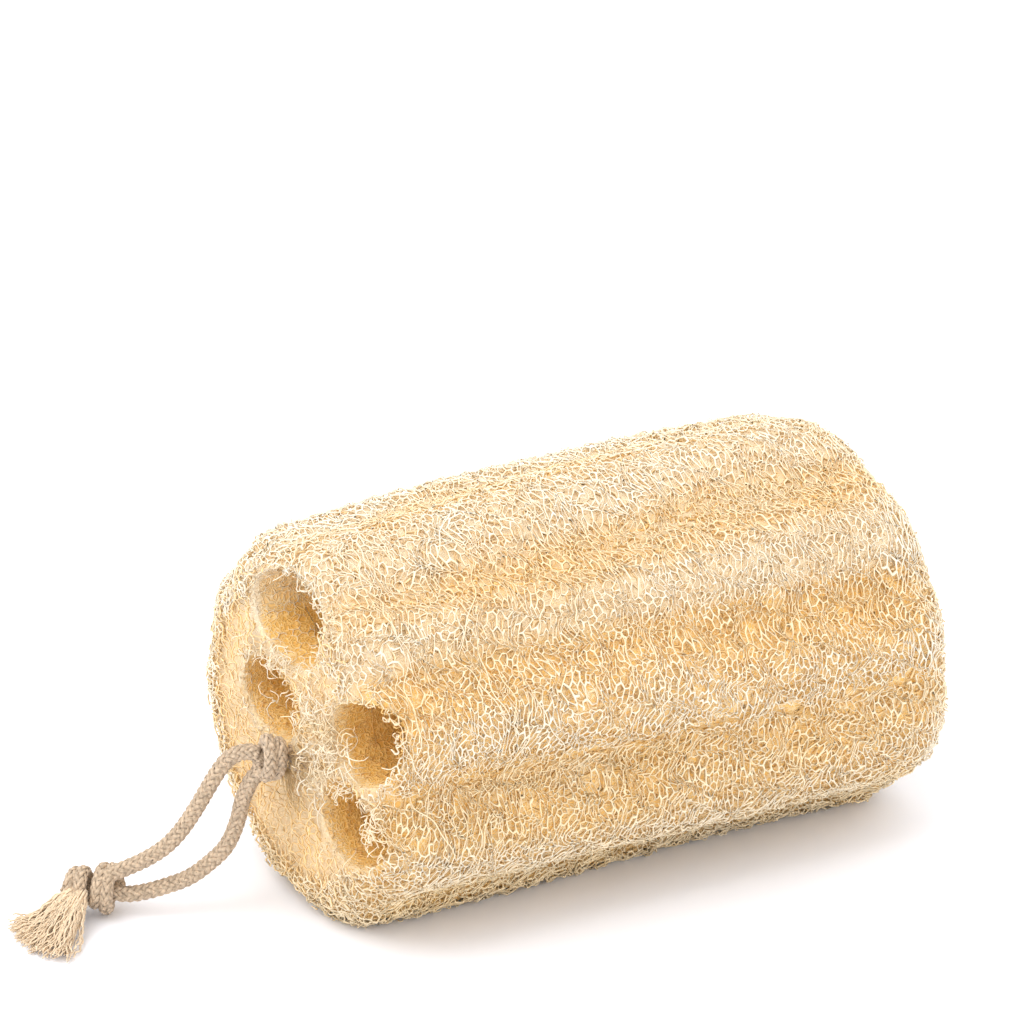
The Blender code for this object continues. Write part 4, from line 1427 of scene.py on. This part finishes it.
class LOOFAH_OT_torn_fibres(bpy.types.Operator):
    """Make the torn fibres at the channels' mouths, on the corded end and round the upper knot"""
    bl_idname = "loofah.torn_fibres"
    bl_label = "Torn fibres"

    def execute(self, context):
        settings = context.scene.loofah_fibre
        rng = np.random.RandomState(TORN_FIBRE_SEED)
        starts = []
        headings = []
        lengths = []
        for end in (-1, 1):
            for sizes in CHANNELS:
                turn = rng.uniform(0, math.tau, MOUTH_FIBRES)
                depths = np.linspace(0, MOUTH_SEARCH, MOUTH_SEARCH_STEPS)
                x = np.broadcast_to(end * (LENGTH / 2 + MOUTH_MARGIN - depths), (MOUTH_FIBRES, len(depths)))
                centre, half = channel_line(sizes, x)
                out = np.stack([np.zeros(MOUTH_FIBRES), np.cos(turn), np.sin(turn)], axis=1)
                wall = np.stack([x, centre[..., 0] + half[..., 0] * out[:, 1:2],
                                 axis_height(x) + centre[..., 1] + half[..., 1] * out[:, 2:3]], axis=-1)
                first = np.argmax(sunk(wall) > MOUTH_FIBRE_DEPTH, axis=1)
                starts.append(wall[np.arange(MOUTH_FIBRES), first])
                beside = np.cross(out, (1.0, 0.0, 0.0))
                headings.append(-out * rng.uniform(*MOUTH_FIBRE_INWARDS, (MOUTH_FIBRES, 1))
                                + beside * rng.normal(0, MOUTH_FIBRE_BESIDE, (MOUTH_FIBRES, 1))
                                + np.array([end, 0, 0]) * rng.uniform(*MOUTH_FIBRE_OUT, (MOUTH_FIBRES, 1)))
                lengths.append(rng.uniform(*MOUTH_FIBRE_LENGTH, MOUTH_FIBRES))
        for middle, half, count, length in TORN_FIBRES:
            place = rng.normal(0, TORN_SPREAD, (count, 2)) * half + middle
            x = np.full(count, -LENGTH / 2)
            x = x + end_slant(x, place[:, 0], place[:, 1] - axis_height(x))
            x = x - rng.uniform(0, TORN_RISE, count)
            starts.append(np.column_stack([x, place]))
            headings.append(rng.normal(0, 1, (count, 3)) * (TORN_OUTWARDS, 1, 1))
            lengths.append(length * rng.uniform(*TORN_LENGTH_RANGE, count))
        starts = np.concatenate(starts)
        headings = np.concatenate(headings)
        headings /= np.linalg.norm(headings, axis=1, keepdims=True)
        lengths = np.concatenate(lengths)
        paths, ups = curled(rng, starts, headings, lengths, TORN_STEPS)
        t = np.linspace(0, 1, TORN_STEPS)
        widths = strand_widths(rng, settings.strand_width, TORN_WIDTH, len(paths), 1 - 0.4 * t)
        fibre_piece("torn_fibres", context.scene["loofah_pale"], paths, widths, widths, ups)
        number = KNOT_FIBRES
        turn = np.where(np.arange(number) % 2, rng.uniform(*KNOT_FIBRES_BESIDE, number),
                        rng.uniform(*KNOT_FIBRES_BELOW, number))
        away = np.stack([np.zeros(number), -np.cos(turn), np.sin(turn)], axis=1)
        starts = np.array(UPPER_KNOT) + away * UPPER_KNOT_HALF[1] * KNOT_FIBRE_START
        starts[:, 0] = -LENGTH / 2 - KNOT_FIBRE_RISE - rng.uniform(0, KNOT_FIBRE_SCATTER, number)
        lengths = rng.uniform(*KNOT_FIBRE_LENGTH, number)
        headings = away + (KNOT_FIBRE_INWARDS, 0, 0)
        paths, ups = curled(rng, starts, headings, lengths, TORN_STEPS, KNOT_FIBRE_CURL)
        widths = strand_widths(rng, settings.strand_width, KNOT_FIBRE_WIDTH, number, 1 - 0.5 * t)
        brown = fibre_material("brown fibre", *BROWN_FIBRE)
        fibre_piece("knot_fibres", brown, paths, widths, widths, ups)
        return {"FINISHED"}


def curled(rng, starts, headings, lengths, count, curl=FIBRE_CURL):
    """Paths from these starts that curl from side to side, and a direction square to each."""
    number = len(starts)
    t = np.linspace(0, 1, count)
    first = np.cross(headings, rng.normal(0, 1, (number, 3)))
    first /= np.linalg.norm(first, axis=1, keepdims=True)
    second = np.cross(headings, first)
    phase = rng.uniform(0, math.tau, (2, number, 1))
    rate = rng.uniform(3.0, 7.0, (number, 1))
    side = curl * (np.sin(phase[0] + rate * t) - np.sin(phase[0]))
    other = curl * (np.sin(phase[1] + rate * t) - np.sin(phase[1]))
    moved = (headings[:, None] * t[:, None] + first[:, None] * side[:, :, None]
             + second[:, None] * other[:, :, None])
    paths = starts[:, None] + moved * lengths[:, None, None]
    return paths, np.broadcast_to(second[:, None], paths.shape)


class LOOFAH_OT_long_fibres(bpy.types.Operator):
    """Make the long fibres that run round the loofah over its net"""
    bl_idname = "loofah.long_fibres"
    bl_label = "Long fibres"

    def execute(self, context):
        settings = context.scene.loofah_fibre
        rng = np.random.RandomState(LONG_FIBRE_SEED)
        number = LONG_FIBRES
        t = np.linspace(0, 1, LONG_FIBRE_STEPS)
        near_rim = rng.uniform(0, 1, number) < LONG_FIBRES_NEAR_RIM
        u = np.where(near_rim, rng.uniform(*RIM_STRETCH, number),
                     rng.uniform(LONG_FIBRE_START, MERIDIAN - LONG_FIBRE_STOP, number))
        v = rng.uniform(0, AROUND, number)
        length = rng.uniform(*LONG_FIBRE_LENGTH, number)
        drift = rng.normal(0, LONG_FIBRE_SLOPE, number) * length
        phase = rng.uniform(0, math.tau, (2, number, 1))
        sway = LONG_FIBRE_SWAY * np.sin(phase[0] + 9 * t) + LONG_FIBRE_CRIMP * np.sin(phase[1] + 17 * t)
        depth = -LONG_FIBRE_RISE + LONG_FIBRE_DIP * np.abs(2 * t - 1) ** 3
        along = u[:, None] + drift[:, None] * (t - 0.5) + sway
        around = v[:, None] + length[:, None] * (t - 0.5)
        paths, ups = over_outside(along, around, depth, LONG_FIBRE_MOUTH)
        widths = strand_widths(rng, settings.strand_width, LONG_FIBRE_WIDTH, len(paths),
                               1 - 0.5 * (2 * t - 1) ** 2)
        heights = widths * LONG_FIBRE_FLATNESS
        fibre_piece("long_fibres", context.scene["loofah_pale"], paths, widths, heights, ups)
        return {"FINISHED"}


class LOOFAH_OT_stray_fibres(bpy.types.Operator):
    """Make the loose fibres that curl out of the net"""
    bl_idname = "loofah.stray_fibres"
    bl_label = "Stray fibres"

    def execute(self, context):
        settings = context.scene.loofah_fibre
        rng = np.random.RandomState(STRAY_FIBRE_SEED)
        number = settings.stray_fibres
        t = np.linspace(0, 1, STRAY_FIBRE_STEPS)
        u = rng.uniform(STRAY_FIBRE_MARGIN, MERIDIAN - STRAY_FIBRE_MARGIN, number)
        v = rng.uniform(0, AROUND, number)
        turn = rng.normal(math.pi / 2, STRAY_FIBRE_TURN, number)
        length = rng.uniform(*STRAY_FIBRE_LENGTH, number)
        bend = rng.uniform(-STRAY_FIBRE_BEND, STRAY_FIBRE_BEND, number)
        heading = turn[:, None] + bend[:, None] * (t - 0.5)
        lengthwise = length[:, None] * np.cumsum(np.cos(heading), axis=1) / len(t)
        sideways = length[:, None] * np.cumsum(np.sin(heading), axis=1) / len(t)
        rise = rng.uniform(*STRAY_FIBRE_ARCH, number)[:, None] * np.sin(math.pi * t) + STRAY_FIBRE_RISE
        free = rng.uniform(0, 1, number)[:, None] < STRAY_FIBRES_FREE
        rise = np.where(free, rise * (0.4 + t), rise)
        paths, ups = over_outside(u[:, None] + lengthwise, v[:, None] + sideways,
                                  STRAY_FIBRE_DEPTH - rise, STRAY_FIBRE_MOUTH)
        widths = strand_widths(rng, settings.strand_width, STRAY_FIBRE_WIDTH, len(paths), 1 - 0.35 * t)
        fibre_piece("stray_fibres", context.scene["loofah_pale"], paths, widths, widths, ups)
        return {"FINISHED"}


class LOOFAH_OT_stage(bpy.types.Operator):
    """Set up the pale floor and the soft studio light"""
    bl_idname = "loofah.stage"
    bl_label = "Stage"

    def execute(self, context):
        settings = context.scene.loofah_stage
        bpy.ops.mesh.primitive_plane_add(size=FLOOR_SIZE, location=(0.0, 0.0, 0.0))
        floor = context.object
        floor.name = "floor"
        made, tree, shader, place = new_material("studio floor", 0.8, 0.1)
        patches = ramped(tree, noise_socket(tree, place, 3.0), 0.3, 0.7)
        pale = settings.floor_colour
        tree.links.new(colour_mix(tree, patches, shaded(pale, (0.99,) * 3), pale),
                       shader.inputs["Base Color"])
        floor.data.materials.append(made)
        for name, place, size, power in (
                ("key light", KEY_PLACE, KEY_SIZE, settings.key_power),
                ("fill light", FILL_PLACE, FILL_SIZE, settings.fill_power)):
            data = bpy.data.lights.new(name, "AREA")
            data.size = size
            data.energy = power
            light = bpy.data.objects.new(name, data)
            light.location = place
            light.rotation_euler = (LIGHT_TARGET - place).to_track_quat("-Z", "Y").to_euler()
            context.scene.collection.objects.link(light)
        world = bpy.data.worlds.new("studio")
        world.use_nodes = True
        sky = world.node_tree.nodes["Background"]
        sky.inputs["Color"].default_value = (1.0, 1.0, 1.0, 1.0)
        sky.inputs["Strength"].default_value = settings.sky_strength
        context.scene.world = world
        context.scene.view_settings.view_transform = "Standard"
        return {"FINISHED"}


OPERATORS = (
    LOOFAH_OT_camera,
    LOOFAH_OT_cord,
    LOOFAH_OT_knots,
    LOOFAH_OT_tassel,
    LOOFAH_OT_core,
    LOOFAH_OT_side_nets,
    LOOFAH_OT_end_nets,
    LOOFAH_OT_lining_nets,
    LOOFAH_OT_torn_fibres,
    LOOFAH_OT_long_fibres,
    LOOFAH_OT_stray_fibres,
    LOOFAH_OT_stage,
)
SETTINGS = (
    ("loofah_fibre", LoofahSettings),
    ("loofah_cord", CordSettings),
    ("loofah_stage", StageSettings),
)


class LOOFAH_PT_panel(bpy.types.Panel):
    """The loofah's settings and the steps that make it"""
    bl_label = "Loofah"
    bl_space_type = "VIEW_3D"
    bl_region_type = "UI"
    bl_category = "Loofah"

    def draw(self, context):
        layout = self.layout
        for name, group in SETTINGS:
            box = layout.box()
            settings = getattr(context.scene, name)
            for key in group.__annotations__:
                box.prop(settings, key)
        for operator in OPERATORS:
            layout.operator(operator.bl_idname)


def register():
    for name, group in SETTINGS:
        bpy.utils.register_class(group)
        setattr(bpy.types.Scene, name, PointerProperty(type=group))
    for operator in OPERATORS:
        bpy.utils.register_class(operator)
    bpy.utils.register_class(LOOFAH_PT_panel)


def unregister():
    bpy.utils.unregister_class(LOOFAH_PT_panel)
    for operator in reversed(OPERATORS):
        bpy.utils.unregister_class(operator)
    for name, group in reversed(SETTINGS):
        delattr(bpy.types.Scene, name)
        bpy.utils.unregister_class(group)


def main():
    register()
    bpy.ops.loofah.camera()
    bpy.ops.loofah.cord()
    bpy.ops.loofah.knots()
    bpy.ops.loofah.tassel()
    bpy.ops.loofah.core()
    bpy.ops.loofah.side_nets()
    bpy.ops.loofah.end_nets()
    bpy.ops.loofah.lining_nets()
    bpy.ops.loofah.torn_fibres()
    bpy.ops.loofah.long_fibres()
    bpy.ops.loofah.stray_fibres()
    bpy.ops.loofah.stage()


if __name__ == "__main__":
    main()
